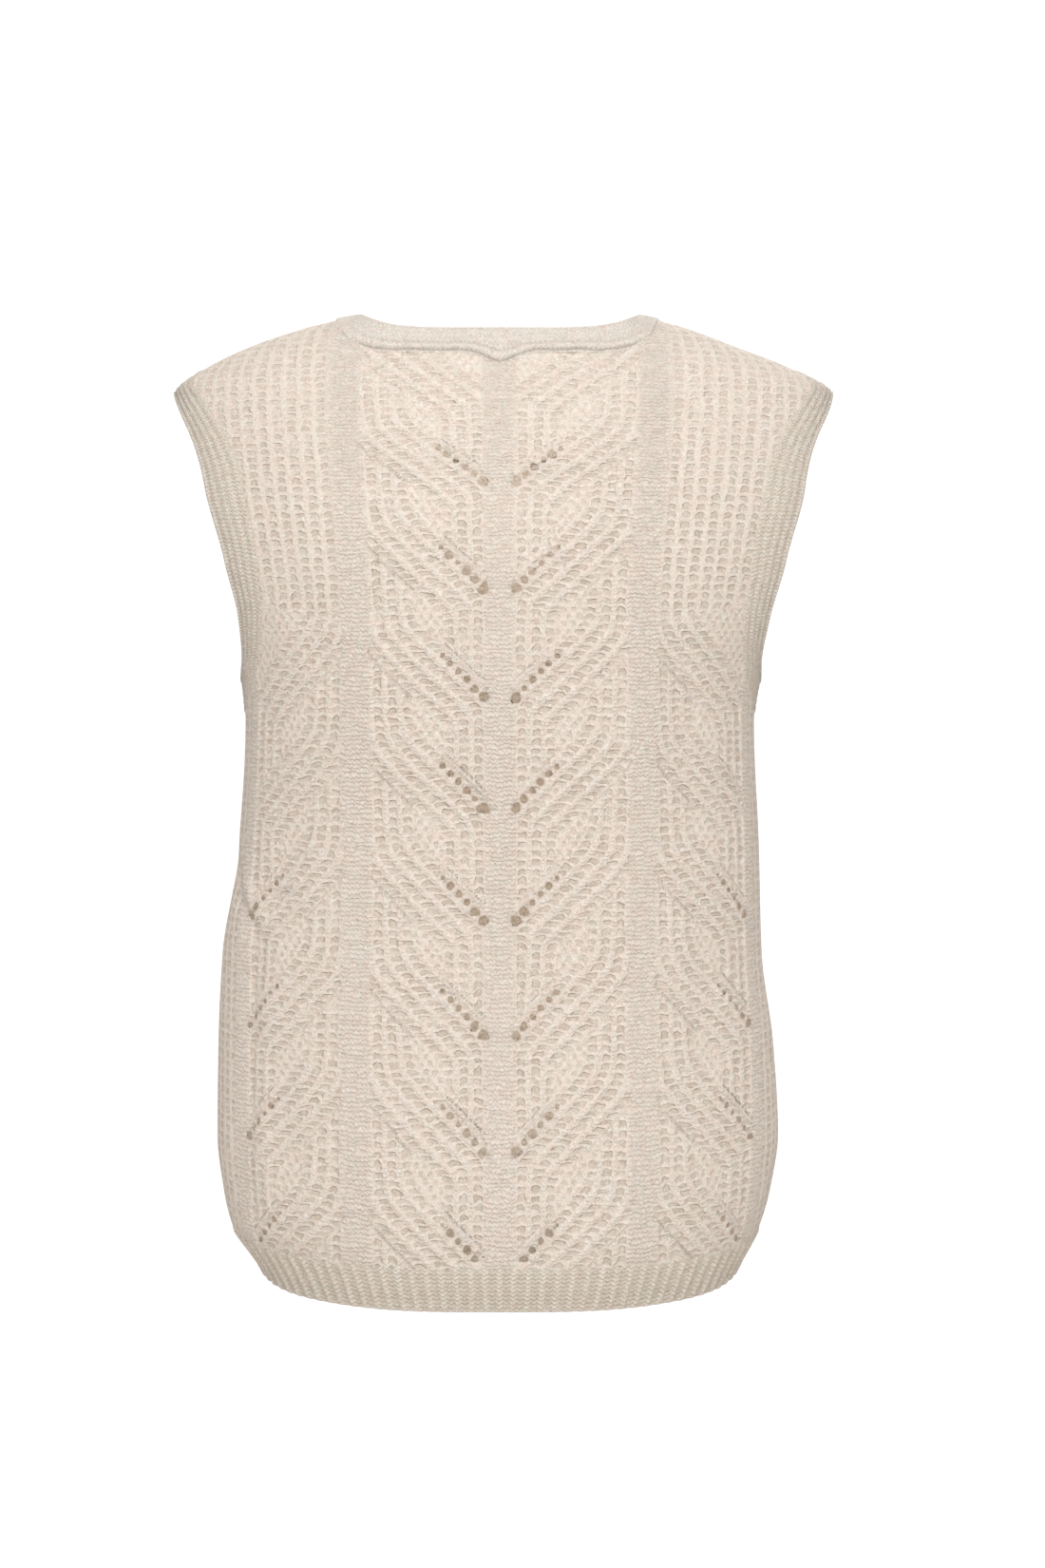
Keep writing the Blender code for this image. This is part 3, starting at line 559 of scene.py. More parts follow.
def add_piece(name, look, grids, quads, flip, triangles=(), fields=None):
    """A smooth-shaded mesh on the root body. look is its material and slot; the slot is not used.
    grids holds its points in mm, their knit map (stitches, rows), how hollow each is, and the
    points without their relief, which are not used. fields are further vectors."""
    (material, slot), (points, knit_map, hollow, plain) = look, grids
    triangles = np.asarray(triangles, int).reshape(-1, 3)
    if flip:
        quads, triangles = quads[:, ::-1], triangles[:, ::-1]
    corners = np.concatenate([quads.ravel(), triangles.ravel()])
    used, corners = np.unique(corners, return_inverse=True)
    sizes = np.repeat([4, 3], [len(quads), len(triangles)])
    mesh = bpy.data.meshes.new(name)
    mesh.vertices.add(len(used))
    points = points.reshape(-1, 3)[used] * METRE
    mesh.vertices.foreach_set("co", points.astype(np.float32).ravel())
    mesh.loops.add(len(corners))
    mesh.loops.foreach_set("vertex_index", corners.astype(np.int32))
    mesh.polygons.add(len(sizes))
    mesh.polygons.foreach_set("loop_start", (np.cumsum(sizes) - sizes).astype(np.int32))
    mesh.update(calc_edges=True)
    knit = mesh.uv_layers.new(name="knit")
    knit_map = knit_map.reshape(-1, 2)[used][corners]
    knit.data.foreach_set("uv", knit_map.astype(np.float32).ravel())
    # The hollow attribute carries painted shade: how far each point's colour is darkened towards
    # the hollow colour.
    shade = mesh.attributes.new("hollow", "FLOAT", "POINT")
    shade.data.foreach_set("value", hollow.ravel()[used].astype(np.float32))
    for title, values in (fields or {}).items():
        field = mesh.attributes.new(title, "FLOAT_VECTOR", "POINT")
        field.data.foreach_set("vector", values.reshape(-1, 3)[used].astype(np.float32).ravel())
    mesh.validate()
    mesh.shade_smooth()
    mesh.materials.append(material)
    piece = bpy.data.objects.new(name, mesh)
    bpy.context.scene.collection.objects.link(piece)
    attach(piece, "root")
    return piece


def add_loop(name, look, parts, flip):
    """A piece that closes round an opening, from the grids of each part of its loop in turn."""
    points, knit_map, hollow, plain = (np.concatenate(grid, axis=1) for grid in zip(*parts))
    quads = grid_quads(*hollow.shape, closed=True)
    plain = np.concatenate([plain, plain[:, :1]], axis=1)
    return add_piece(name, look, (points, knit_map, hollow, plain), quads, flip)


def lace_columns():
    """Stitch positions of the grid's columns: two a stitch in the lace, fewer in the ladders and
    at the sides."""
    one = np.concatenate(
        [[0.0, 1.2, 2.2, 3.0, 3.6], np.arange(4.1, 26.2, 0.5), [26.4, 27.0, 27.8, 28.8]]
    )
    half = np.concatenate([one, 30.0 + (30.0 - one[::-1])[:-1], 60.0 + one[::2], [90.0]])
    half = np.unique(np.round(half, 3))
    return np.concatenate([-half[:0:-1], half])


UPPER_ROWS, LACE_ROWS = 38, 48  # grid rows in a repeat, over the shoulders and below


def lace_rows():
    """Repeats down to the grid's rows: two a knitted row, a little sparser over the shoulders."""
    top, bottom = repeat_at(NECK_SEAM_TOP), repeat_at(HEM_RIB_TOP)
    upper = np.linspace(top, 0.0, int(-top * UPPER_ROWS) + 1)[:-1]
    return np.concatenate([upper, np.linspace(0.0, bottom, int(bottom * LACE_ROWS) + 1)])


def columns_inside(beyond):
    """Columns from the middle out to each row's first that is beyond the edge, or to the last."""
    return np.where(beyond.any(1), beyond.argmax(1), beyond.shape[1] - 1)


NECK_BEND = {"back": -85.0, "front": -260.0}  # rows bend to the neck above this height


def lace_piece(name, face, look):
    """The lace of a panel: rows and stitches laid on the form, bent to the neck's seam, clipped
    to the side seams and armhole borders, its eyelets cut through, its relief raised."""
    p, q = np.meshgrid(lace_columns(), lace_rows())
    level = level_of(q)
    wanted = p * stitch_width(level)
    run = wanted
    bend = smooth((level - NECK_BEND[face]) / (NECK_SEAM_TOP - NECK_BEND[face]))
    for _ in range(SETTLE):
        height = level + side_rise(run, level, face)
        height = height + (neck_top(run, face) - NECK_SEAM_TOP) * bend
        left, right = panel_limit(height, "left", face), panel_limit(height, "right", face)
        limit = np.where(run < 0.0, left, right)
        run = np.clip(wanted, -left, right)
    beyond = np.abs(wanted) >= limit
    rows, columns = p.shape
    middle = columns // 2
    first = middle - columns_inside(beyond[:, middle::-1])
    last = middle + columns_inside(beyond[:, middle:])
    column = np.clip(np.arange(columns), first[:, None], last[:, None])
    number = (np.arange(rows)[:, None] * columns + column).ravel()
    # Pattern places of the finished points.
    flat = height - side_rise(run, level, face)
    shift = FRONT_SHIFT if face == "front" else 0.0
    width = stitch_width(flat)
    here_q, here_p = repeat_at(flat) - shift, run / width
    span = np.where(flat > FIRST_REPEAT, TOP_REPEAT, REPEAT)
    rim, hole_p, hole_q = eyelet_distance(here_p, here_q, width, span)
    # Cells inside an eyelet go, and the points round them are drawn onto its rim.
    depth = limit - np.abs(run)
    room = (depth > EYELET_CLEAR) & (height < neck_top(run, face) - EYELET_CLEAR)
    room = room & (level > HEM_RIB_TOP + 5.0)
    quads = grid_quads(rows, columns)
    cut = (rim.ravel()[quads].mean(axis=1) < CUT_WITHIN) & room.ravel()[quads].all(axis=1)
    on_rim = np.ones(rows * columns, bool)
    for cells in (cut, ~cut):
        touched = np.zeros(rows * columns, bool)
        touched[quads[cells].ravel()] = True
        on_rim = on_rim & touched
    on_rim = on_rim.reshape(rows, columns)
    pull = np.where(on_rim, 1.0 / np.clip(rim, 0.3, 3.0), 1.0)
    hole_run, hole_level = hole_p * width, level_of(hole_q + shift)
    run = np.where(on_rim, hole_run + (run - hole_run) * pull, run)
    rise = side_rise(run, level, face)
    height = np.where(on_rim, hole_level + (flat - hole_level) * pull + rise, height)
    relief, leaf, fill = lace_fields(here_p, here_q)
    ring = bell((rim - 1.0) / 0.30) * room
    relief = relief * (1.0 - 0.8 * ring) - 0.9 * ring + 0.45 * bell((rim - 1.5) / 0.25) * room
    edge = bell(depth / 1.6)
    relief = relief * smooth(depth / 2.5) - 0.9 * edge * (height < BORDER["bottom"])
    relief = relief * smooth((level - HEM_RIB_TOP) / 2.5)
    # The gaps of the knit stay off the strands round an eyelet.
    calm = smooth((rim - 1.05) / 0.5)
    leaf[..., 2] *= calm
    fill[..., :2] *= calm[..., None]
    points, plain = cloth(run, height, face, relief), cloth(run, height, face)
    knit_map = np.stack([here_p, here_q * ROWS], axis=-1)
    # The hollow values are painted shade: a ring round each eyelet's rim and a band along the side
    # seams and armhole borders darken the colour there.
    grids = (points, knit_map, np.maximum(0.4 * ring, 0.4 * edge), plain)
    quads, triangles = without_repeats(number[quads[~cut]])
    fields = {"furrow": leaf, "fill": fill}
    return add_piece(name, look, grids, quads, face == "back", triangles, fields)


HEM_COLUMN = 0.95  # width of a column of the hem's grid, mm
HEM_PROFILE = (
    # up from the hem to the lace, turned (mm out), ribbed: from inside the hem round its edge
    (0.45, -1.9, 0.0),
    (0.12, -1.8, 0.0),
    (0.02, -1.3, 0.1),
    (-0.02, -0.7, 0.25),
    (-0.025, -0.1, 0.45),
    (0.0, 0.35, 0.65),
    (0.035, 0.3, 0.85),
    (0.09, 0.15, 1.0),
    (0.2, 0.0, 1.0),
    (0.35, 0.0, 1.0),
    (0.5, 0.0, 1.0),
    (0.65, 0.0, 1.0),
    (0.8, 0.0, 1.0),
    (0.92, 0.0, 0.85),
    (1.0, 0.0, 0.15),
    (1.05, -0.9, 0.0),
)


def hem_rib_piece(name, face, rib, look):
    """A panel's ribbed hem: narrow knit wales between wider purl furrows, upright, with the cast
    on edge turned in. Out is a flattened cosine of the run, carried from the hem to the lace."""
    left, right = (
        np.linspace(0.0, 1.0, int(quarter(HEM, side, face) / HEM_COLUMN) + 1)
        for side in ("left", "right")
    )
    up, turned, ribbed = np.array(HEM_PROFILE).T
    share, up = np.meshgrid(np.concatenate([-left[::-1], right[1:]]), up)
    turned, ribbed = turned[:, None], ribbed[:, None]
    level = HEM + (HEM_RIB_TOP - HEM) * up
    height = level
    for _ in range(SETTLE):
        run = share * both_quarters(share, height, face)
        height = level + side_rise(run, level, face)
    scale = both_quarters(share, HEM, face)
    turn = share * scale / rib
    turn = turn + 0.05 * wander(share * 9.0, up * 0.7, 31)
    knit = smooth(0.22 + 0.95 * np.cos(TAU * turn))
    seam = bell((1.0 - np.abs(share)) * scale / 1.6)
    lift = turned + ribbed * (1.15 * knit - 0.35) * (1.0 - seam) - 0.9 * seam
    points, plain = cloth(run, height, face, lift), cloth(run, height, face)
    # Painted shade: the colour darkens in the purl furrows between the wales and along the side
    # seams.
    hollow = (ribbed * (1.0 - knit) * 0.68 + 0.4 * seam).clip(0.0, 1.0)
    knit_map = np.stack([turn * 2.0, up * 10.0], axis=-1)
    grids = (points, knit_map, hollow, plain)
    return add_piece(name, look, grids, grid_quads(*share.shape), face == "front")


ARMHOLE_STATIONS, ARMHOLE_ROWS = 130, 44  # from shoulder to underarm, and across the border
ARMHOLE_EDGE = (
    # inward, out: from inside the armhole, round its edge
    (0.50, -1.9),
    (0.30, -2.0),
    (0.12, -2.1),
    (0.03, -1.7),
    (-0.02, -1.0),
    (-0.03, -0.4),
    (-0.02, 0.1),
    (0.0, 0.6),
)


def armhole_rib_piece(name, side, ribs, look):
    """The ribbed border round an armhole, back and front in one loop: ribs follow the edge, and
    the edge rolls in. Out is a cosine across the border, carried round the armhole's oval."""
    angle = np.linspace(0.0, math.pi, ARMHOLE_STATIONS)
    inside, rolled = np.array(ARMHOLE_EDGE).T
    inward = np.concatenate([inside, np.linspace(0.03, 1.0, ARMHOLE_ROWS)])
    turned = np.interp(inward, [0.0, 0.05, 0.1, 1.0], [0.7, 0.9, 0.25, 0.0])
    turned[: len(rolled)] = rolled
    parts = []
    for face, angles in (("back", angle[:-1]), ("front", angle[:0:-1])):
        around, across = np.meshgrid(angles, inward)
        run, height = armhole_line(around, across, side, face)
        run = np.minimum(run, quarter(height, side, face)) * WAY[side]
        phase = across * (ribs + 0.5) + 0.05 * wander(around * 3.0, across * 2.0, 37)
        knit = smooth(0.5 + 0.8 * np.cos(TAU * (phase - 0.1)))
        ribbed = smooth((across - 0.02) / 0.08) * smooth((1.0 - across) / 0.06)
        lift = turned[:, None] + ribbed * (0.7 * knit - 0.35)
        lift = lift - 0.6 * bell((math.pi - around) / 0.02) * (across > 0.0)
        knit_map = np.stack([phase * 2.0, around * 40.0], axis=-1)
        # Painted shade: the colour darkens in the furrows between the ribs and along the seam at
        # the border's inner side.
        shade = ribbed * (1.0 - knit) * 0.14 + 0.2 * bell((across - 1.0) / 0.05)
        points, plain = cloth(run, height, face, lift), cloth(run, height, face)
        parts.append((points, knit_map, shade, plain))
    return add_loop(name, look, parts, side == "right")


BAND_STATIONS = 170  # from the centre to one shoulder
LINK_STITCH = 3.1  # length of a linking stitch, mm
BAND_PROFILE = (
    # down, out: from inside the band, over its edge, down the outside to under its seam
    (0.80, -1.9),
    (0.45, -1.9),
    (0.15, -1.8),
    (0.04, -1.3),
    (-0.01, -0.5),
    (0.0, 0.3),
    (0.04, 0.95),
    (0.11, 1.25),
    (0.20, 1.2),
    (0.30, 1.1),
    (0.40, 1.05),
    (0.50, 1.0),
    (0.58, 0.9),
    (0.63, 0.5),
    (0.67, 0.45),
    (0.71, 0.75),
    (0.77, 0.9),
    (0.82, 0.95),
    (0.86, 0.85),
    (0.91, 0.6),
    (0.94, -0.5),
    (0.98, -0.6),
    (1.04, 0.35),
    (1.09, -0.1),
    (1.10, -0.9),
)


def neckband_piece(name, look):
    """The neckband: its profile carried round the neck, plain above and with a line of linking
    stitches along its seam."""
    down, out = np.array(BAND_PROFILE).T
    # Painted shade: the colour darkens in the groove part-way down the band and in the groove along
    # its seam.
    shade = np.interp(down, [0.55, 0.66, 0.72, 0.90, 0.94, 0.98, 1.02], [0, 0.4, 0, 0, 1, 1, 0])
    out, parts, travelled = out[:, None], [], 0.0
    for side, face, order in (
        ("right", "back", 1),
        ("right", "front", -1),
        ("left", "front", 1),
        ("left", "back", -1),
    ):
        shares = np.sin(np.linspace(0.0, math.pi / 2, BAND_STATIONS + 1))[::order][:-1]
        share, across = np.meshgrid(shares, down)
        turn, height = neck_line(share, across, side, face)
        line = on_form(*neck_line(shares, 0.9, side, face), side, face)
        steps = np.linalg.norm(np.diff(line, axis=0, append=line[-1:]), axis=1)
        along = travelled + np.concatenate([[0.0], np.cumsum(steps)[:-1]])
        travelled = along[-1] + steps[-2]
        stitches = TAU * along / LINK_STITCH
        joined = 1.0 - bell(share / 0.03)
        link = bell((across - 0.80) / 0.07) * 0.28 * np.cos(stitches)[None, :] * joined
        lower = bell((across - 1.0) / 0.04) * 0.22 * np.cos(stitches + 1.5)[None, :] * joined
        uneven = 0.35 * wander(along[None, :] / 9.0, across * 1.5, 41) * joined
        sag = 0.9 * bell(share * 6.1) * smooth(across * 2.0 - 0.4)
        shown = smooth((0.95 - share) / 0.15)
        flat = np.where((across > 0.02) & (across < 1.02), 0.7, out)
        lift = flat + (out + link + lower - flat) * shown
        lift = lift + uneven * smooth(across * 3.0) - sag * (face == "back")
        places = on_form(turn, height, side, face, lift)
        slack = 0.5 * wander(along[None, :] / 3.5, 0.0 * across, 43) * joined * shown
        places[..., 2] += slack * bell((across - 0.96) / 0.07)
        lean = BAND_LEAN * share**12 * (1.0 - across).clip(0.0) ** 1.5
        places[..., 0] -= lean * WAY[side]
        places[..., 2] -= 0.25 * lean
        knit_map = np.stack([along[None, :] / STITCH + 0.0 * across, across * 5.0], axis=-1)
        plain = on_form(turn, height, side, face)
        parts.append((places, knit_map, shade[:, None] * shown, plain))
    # The stitches are counted from the back's centre both ways, to meet at the front's.
    for _, knit_map, _, _ in parts:
        count = knit_map[..., 0]
        knit_map[..., 0] = np.minimum(count, travelled / STITCH - count)
    return add_loop(name, look, parts, True)


# ---- Materials --------------------------------------------------------------------------------
# Sizes of the wool's patterns in mm, so that a metre holds a round number of each.
FLECK = 1000.0 / 620.0  # 1.6: a carded fleck
TINT = 1000.0 / 170.0  # 5.9: a faint tint
CLOUD = 1000.0 / 24.0  # 42: a cloudy patch
SWAY = 1000.0 / 150.0  # 6.7: over which loops lean differently
RAGGED = 1000.0 / 520.0  # 1.9: over which gaps are uneven
NAP = 1000.0 / 1900.0  # 0.5: between the fibres of the nap
SOFT = {"interpolation_type": "SMOOTHSTEP"}
PURL_ARCH, KNIT_ARCH = 0.3, 0.5  # how far a row bends: a purl's low arch, a knit stitch's V
BAND_LOOPS = 0.8  # the band's loops are this much shallower than the ribs'


def linear(colour):
    """An sRGB hex value as linear red, green, blue and 1."""
    parts = [int(colour[i : i + 2], 16) / 255.0 for i in (1, 3, 5)]
    return [c / 12.92 if c <= 0.04045 else ((c + 0.055) / 1.055) ** 2.4 for c in parts] + [1.0]


def add_node(tree, kind, inputs=(), **settings):
    """Adds a node, such as "Mix" or "Math ADD" with its operation, sets its properties, and sets
    or links its inputs: a row in their order, or names or numbers with their values. A node
    given as an input stands for its first output."""
    kind, _, operation = kind.partition(" ")
    node = tree.nodes.new("ShaderNode" + kind)
    if operation:
        node.operation = operation
    for key, value in settings.items():
        setattr(node, key, value)
    for key, value in inputs.items() if isinstance(inputs, dict) else enumerate(inputs):
        if isinstance(value, bpy.types.Node):
            value = value.outputs[0]
        if isinstance(value, bpy.types.NodeSocket):
            tree.links.new(value, node.inputs[key])
        else:
            node.inputs[key].default_value = value
    return node


def scale_of(size):
    """A pattern's scale for a size in mm."""
    return 1.0 / (size * METRE)


def waves(tree, value, rate):
    """cos(rate * value)."""
    return add_node(tree, "Math COSINE", (add_node(tree, "Math MULTIPLY", (value, rate)),))


def melange(tree, place, colours):
    """Carded cream and sand fibres: flecks over faint tints of rose and moss, with cloudy patches
    of one even tone."""
    node = partial(add_node, tree)
    grain = {"Vector": place, "Scale": scale_of(FLECK), "Detail": 3.0}
    grain = node("TexNoise", {**grain, "Roughness": 0.75, "Distortion": 1.4})
    tint = node("TexNoise", {"Vector": place, "Scale": scale_of(TINT), "Detail": 2.0})
    cloud = node("TexNoise", {"Vector": place, "Scale": scale_of(CLOUD), "Detail": 2.0})
    tones = []
    for source, stops in (
        (grain, ((0.37, "fleck"), (0.49, "body"), (0.61, "light"))),
        (tint, ((0.38, "rose"), (0.5, "body"), (0.62, "moss"))),
    ):
        ramp = node("ValToRGB", (source,))
        ramp.color_ramp.elements.new(0.5)
        for element, (at, colour) in zip(ramp.color_ramp.elements, stops):
            element.position, element.color = at, colours[colour]
        tones.append(ramp)
    tone = node("Mix", {0: 0.35, 6: tones[0], 7: tones[1]}, data_type="RGBA").outputs[2]
    patch = node("Math MULTIPLY_ADD", (cloud, 0.6, -0.15))
    return node("Mix", {0: patch, 6: tone, 7: colours["body"]}, data_type="RGBA").outputs[2]


def gaps(tree, dip, phase, ragged):
    """Ragged arched gaps, open where dip nears 1 and the phase is whole."""
    node = partial(add_node, tree)
    arch = node("Math MULTIPLY_ADD", (dip, 0.24, phase))
    beat = node("Math ADD", (waves(tree, arch, TAU), ragged))
    wide = node("Math MULTIPLY_ADD", (ragged, 0.35, dip))
    wide = node("MapRange", (wide, 0.32, 0.66), **SOFT)
    return node("Math MULTIPLY", (wide, node("MapRange", (beat, -0.6, 0.3), **SOFT)))


def lace_pattern(tree, place, knit):
    """Height (0 to 1), hollowness and cord of the lace at a point, its share of purl, and how
    loops sway. The hollowness also darkens the colour as painted shade in the gaps, and the cord
    lightens it as a painted highlight on the strands. A leaf's gaps lie half-way between its
    ridges and at whole phases; plain mesh has upright chains with gaps between, and seed stitch
    small bumps, both from the knit map, pushed about a little by noise."""
    node = partial(add_node, tree)
    sway = node("TexNoise", {"Vector": place, "Scale": scale_of(SWAY), "Detail": 1.0}).outputs[1]
    sway = node("SeparateXYZ", (node("VectorMath SUBTRACT", (sway, (0.5, 0.5, 0.5))),)).outputs
    leaf, fill = (
        node("SeparateXYZ", (node("Attribute", attribute_name=title).outputs["Vector"],)).outputs
        for title in ("furrow", "fill")
    )
    at = node("Math MULTIPLY_ADD", (sway[0], 0.35, leaf[0]))
    along = node("Math MULTIPLY_ADD", (sway[1], 1.1, leaf[1]))
    ragged = node("TexNoise", {"Vector": place, "Scale": scale_of(RAGGED), "Detail": 2.0})
    ragged = node("Math MULTIPLY_ADD", (ragged, 1.2, -0.6))
    dip = node("Math MULTIPLY_ADD", (waves(tree, at, TAU), -0.5, 0.5))
    loose = node("Math MULTIPLY_ADD", (sway[2], 1.8, 0.8))
    hole = node("Math MULTIPLY", (gaps(tree, dip, along, ragged), leaf[2]))
    hole = node("Math MULTIPLY", (hole, loose))
    column = node("Math MULTIPLY_ADD", (sway[2], 1.5, knit.outputs["X"]))
    row = node("Math MULTIPLY_ADD", (sway[0], 1.5, knit.outputs["Y"]))
    chain = node("Math MULTIPLY_ADD", (waves(tree, column, TAU / RIDGE_STEP), -0.5, 0.5))
    mesh = gaps(tree, chain, node("Math MULTIPLY", (row, 0.5)), ragged)
    mesh = node("Math MULTIPLY", (node("Math MULTIPLY", (mesh, fill[0])), loose))
    seed = (waves(tree, column, math.pi / 1.1), waves(tree, row, math.pi / 1.6))
    seed = node("Math MULTIPLY_ADD", (ragged, 1.1, node("Math MULTIPLY", seed)))
    seed = node("Math MULTIPLY", (node("MapRange", (seed, -0.1, 1.0), **SOFT), fill[1]))
    hollow = node("Math MAXIMUM", (hole, mesh))
    hollow = node("Math MAXIMUM", (hollow, node("Math MULTIPLY", (seed, 0.65))))
    height = node("Math SUBTRACT", (1.0, hollow))
    cord = node("Math SUBTRACT", (1.0, node("MapRange", (dip, 0.0, 0.26), **SOFT)))
    cord = node("Math MULTIPLY", (cord, leaf[2]))
    twist = node("Math MULTIPLY_ADD", (along, 2.0, node("Math MULTIPLY", (dip, 1.6))))
    twist = node("Math MULTIPLY_ADD", (waves(tree, twist, TAU), 0.24, 0.2))
    height = node("Math MULTIPLY_ADD", (cord, twist, height))
    chain = node("Math SUBTRACT", (1.0, node("MapRange", (chain, 0.0, 0.3), **SOFT)))
    chain = node("Math MULTIPLY", (chain, fill[0]))
    height = node("Math MULTIPLY_ADD", (chain, 0.2, height))
    cord = node("Math MAXIMUM", (cord, chain))
    return height, hollow, cord, fill[2], sway[1]


def brushed_wool(name, colours, arch, loop_depth, lace=False):
    """Brushed melange wool knit. Cream and sand fibres are carded together, so the colour is
    flecked from fibre to fibre; the gaps between stitches are darkened with painted shade, the
    lace's cords lightened with a painted highlight, and each row of loops faintly shaded in paint;
    brushing raises a short nap that gives a pale sheen at glancing angles and no gloss."""
    material = bpy.data.materials.new(name)
    material.use_nodes = True
    tree = material.node_tree
    node = partial(add_node, tree)
    place = node("TexCoord").outputs["Object"]
    tone = melange(tree, place, colours)
    hollow = node("Attribute", attribute_name="hollow").outputs["Fac"]
    knit = node("SeparateXYZ", (node("UVMap", uv_map="knit"),))
    leg = node("Math MULTIPLY_ADD", (node("Math FRACT", (knit.outputs["X"],)), 2.0, -1.0))
    leg = node("Math ABSOLUTE", (leg,))
    row = node("Math MULTIPLY_ADD", (leg, arch, knit.outputs["Y"]))
    if lace:
        height, holes, cord, purl, sway = lace_pattern(tree, place, knit)
        row = node("Math MULTIPLY_ADD", (sway, 1.6, row))
    loops = node("Math SINE", (node("Math MULTIPLY", (row, TAU)),))
    relief = {"Strength": 0.75, "Distance": loop_depth * METRE}
    if lace:
        hollow = node("Math MAXIMUM", (hollow, holes))
        # Painted highlight: the lace's cords and chains are mixed a little towards the light
        # colour.
        painted_highlight = {0: node("Math MULTIPLY", (cord, 0.08)), 6: tone, 7: colours["light"]}
        tone = node("Mix", painted_highlight, data_type="RGBA").outputs[2]
        loops = node("Math MULTIPLY", (loops, node("Math MULTIPLY_ADD", (purl, 0.8, 0.2))))
        pattern = {"Height": height, "Strength": 0.9, "Distance": 0.9 * METRE}
        relief["Normal"] = node("Bump", pattern)
    # Painted shade: the colour is mixed towards the hollow colour where the knit's gaps and
    # recesses sink into shade.
    painted_shade = {0: node("Math MULTIPLY", (hollow, 0.37)), 6: tone, 7: colours["hollow"]}
    tone = node("Mix", painted_shade, data_type="RGBA").outputs[2]
    nap = {"Vector": place, "Scale": scale_of(NAP), "Detail": 2.0, "Roughness": 0.65}
    nap = {"Height": node("TexNoise", nap), "Strength": 0.9, "Distance": 0.6 * METRE}
    bump = node("Bump", {**nap, "Normal": node("Bump", {**relief, "Height": loops})})
    # Painted shade: the colour darkens faintly with each row of loops, along with their bump.
    shade = {0: 1.0, 6: tone, 7: node("Math MULTIPLY_ADD", (loops, 0.035, 0.97))}
    tone = node("Mix", shade, data_type="RGBA", blend_type="MULTIPLY").outputs[2]
    shader = tree.nodes["Principled BSDF"]
    tree.links.new(bump.outputs[0], shader.inputs["Normal"])
    tree.links.new(tone, shader.inputs["Base Color"])
    for title, value in {
        "Roughness": 0.94,
        "Metallic": 0.0,
        "IOR": 1.45,
        "Specular IOR Level": 0.12,
        "Sheen Weight": 0.1,
        "Sheen Roughness": 0.55,
        "Sheen Tint": linear("#F4EDE3"),
    }.items():
        shader.inputs[title].default_value = value
    # A loose knit lets about a tenth of the light through.
    through = node("BsdfTranslucent", {"Color": tone, "Normal": bump})
    blend = node("MixShader", (0.1, shader, through))
    tree.links.new(blend.outputs[0], tree.nodes["Material Output"].inputs["Surface"])
    return material


# ---- Settings, operators and panel ------------------------------------------------------------
def size(kind, name, about, default, least, most):
    """A size that a user may change."""
    return kind(name=name, description=about, default=default, min=least, max=most)


def colour(name, about, value):
    """A colour that a user may change, from its sRGB hex value."""
    limits = {"subtype": "COLOR", "size": 4, "min": 0.0, "max": 1.0}
    return FloatVectorProperty(name=name, description=about, default=linear(value), **limits)


class VestSizes(bpy.types.PropertyGroup):
    """Sizes of the knit, in millimetres, and a count."""

    rib_pitch: size(FloatProperty, "Hem rib pitch", "One rib and one furrow, in mm", 8.2, 4.0, 14.0)
    armhole_ribs: size(IntProperty, "Armhole ribs", "Ribs across an armhole's border", 4, 2, 8)
    lace_loops: size(FloatProperty, "Lace loop depth", "In the lace, in mm", 0.5, 0.0, 1.5)
    band_loops: size(FloatProperty, "Band loop depth", "In ribs and band, in mm", 0.45, 0.0, 1.5)


class VestColours(bpy.types.PropertyGroup):
    """Colours of the wool, and those that the ribs and the band have of their own. The hollow
    colours are painted shade, and the light colour is also painted onto the lace's cords as a
    highlight.
    """

    light: colour("Light", "Palest carded fibres", "#F6EEE6")
    body: colour("Body", "Main tone of the wool", "#E1D4C8")
    fleck: colour("Fleck", "Darkest carded fibres", "#C4B3A4")
    rose: colour("Rose tint", "Faint warm tint", "#E2CDC0")
    moss: colour("Moss tint", "Faint green tint", "#DBD7CA")
    # Painted shade: mixed into the lace's colour where its gaps and recesses fall into shade.
    hollow: colour("Hollow", "Gaps between the stitches", "#A8967C")
    rib_body: colour("Rib body", "Main tone of the ribs", "#E2D7C8")
    # Painted shade: mixed into the ribs' colour in their furrows and along their seams.
    rib_hollow: colour("Rib hollow", "Furrows of the ribs", "#AD9D86")
    band_light: colour("Band light", "Palest fibres of the neckband", "#F6F0E9")
    band_body: colour("Band body", "Main tone of the neckband", "#E8DED3")
    # Painted shade: mixed into the band's colour in the groove along its seam and the groove above
    # it.
    band_hollow: colour("Band hollow", "Groove along the neckband's seam", "#4E4030")


def wool(yarn):
    """The knit's materials, made once: purl-faced lace, knit-faced ribs, and the band. A yarn's
    own colours stand in for the common ones."""
    name = f"oatmeal_{yarn}_wool"
    made = bpy.data.materials.get(name)
    if made:
        return made
    sizes, chosen = bpy.context.scene.vest_sizes, bpy.context.scene.vest_colours
    colours = {
        part: tuple(getattr(chosen, f"{yarn}_{part}", getattr(chosen, part)))
        for part in ("light", "body", "fleck", "rose", "moss", "hollow")
    }
    if yarn == "lace":
        return brushed_wool(name, colours, PURL_ARCH, sizes.lace_loops, lace=True)
    shallower = BAND_LOOPS if yarn == "band" else 1.0
    return brushed_wool(name, colours, KNIT_ARCH, sizes.band_loops * shallower)


class VEST_OT_lace(bpy.types.Operator):
    """Knit the lace of the back and front panels"""

    bl_idname = "vest.lace"
    bl_label = "Lace panels"

    def execute(self, context):
        for face in ("back", "front"):
            piece = lace_piece(face + "_lace", face, (wool("lace"), "lace_knit"))
            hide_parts(face + "_panel")
        return {"FINISHED"}


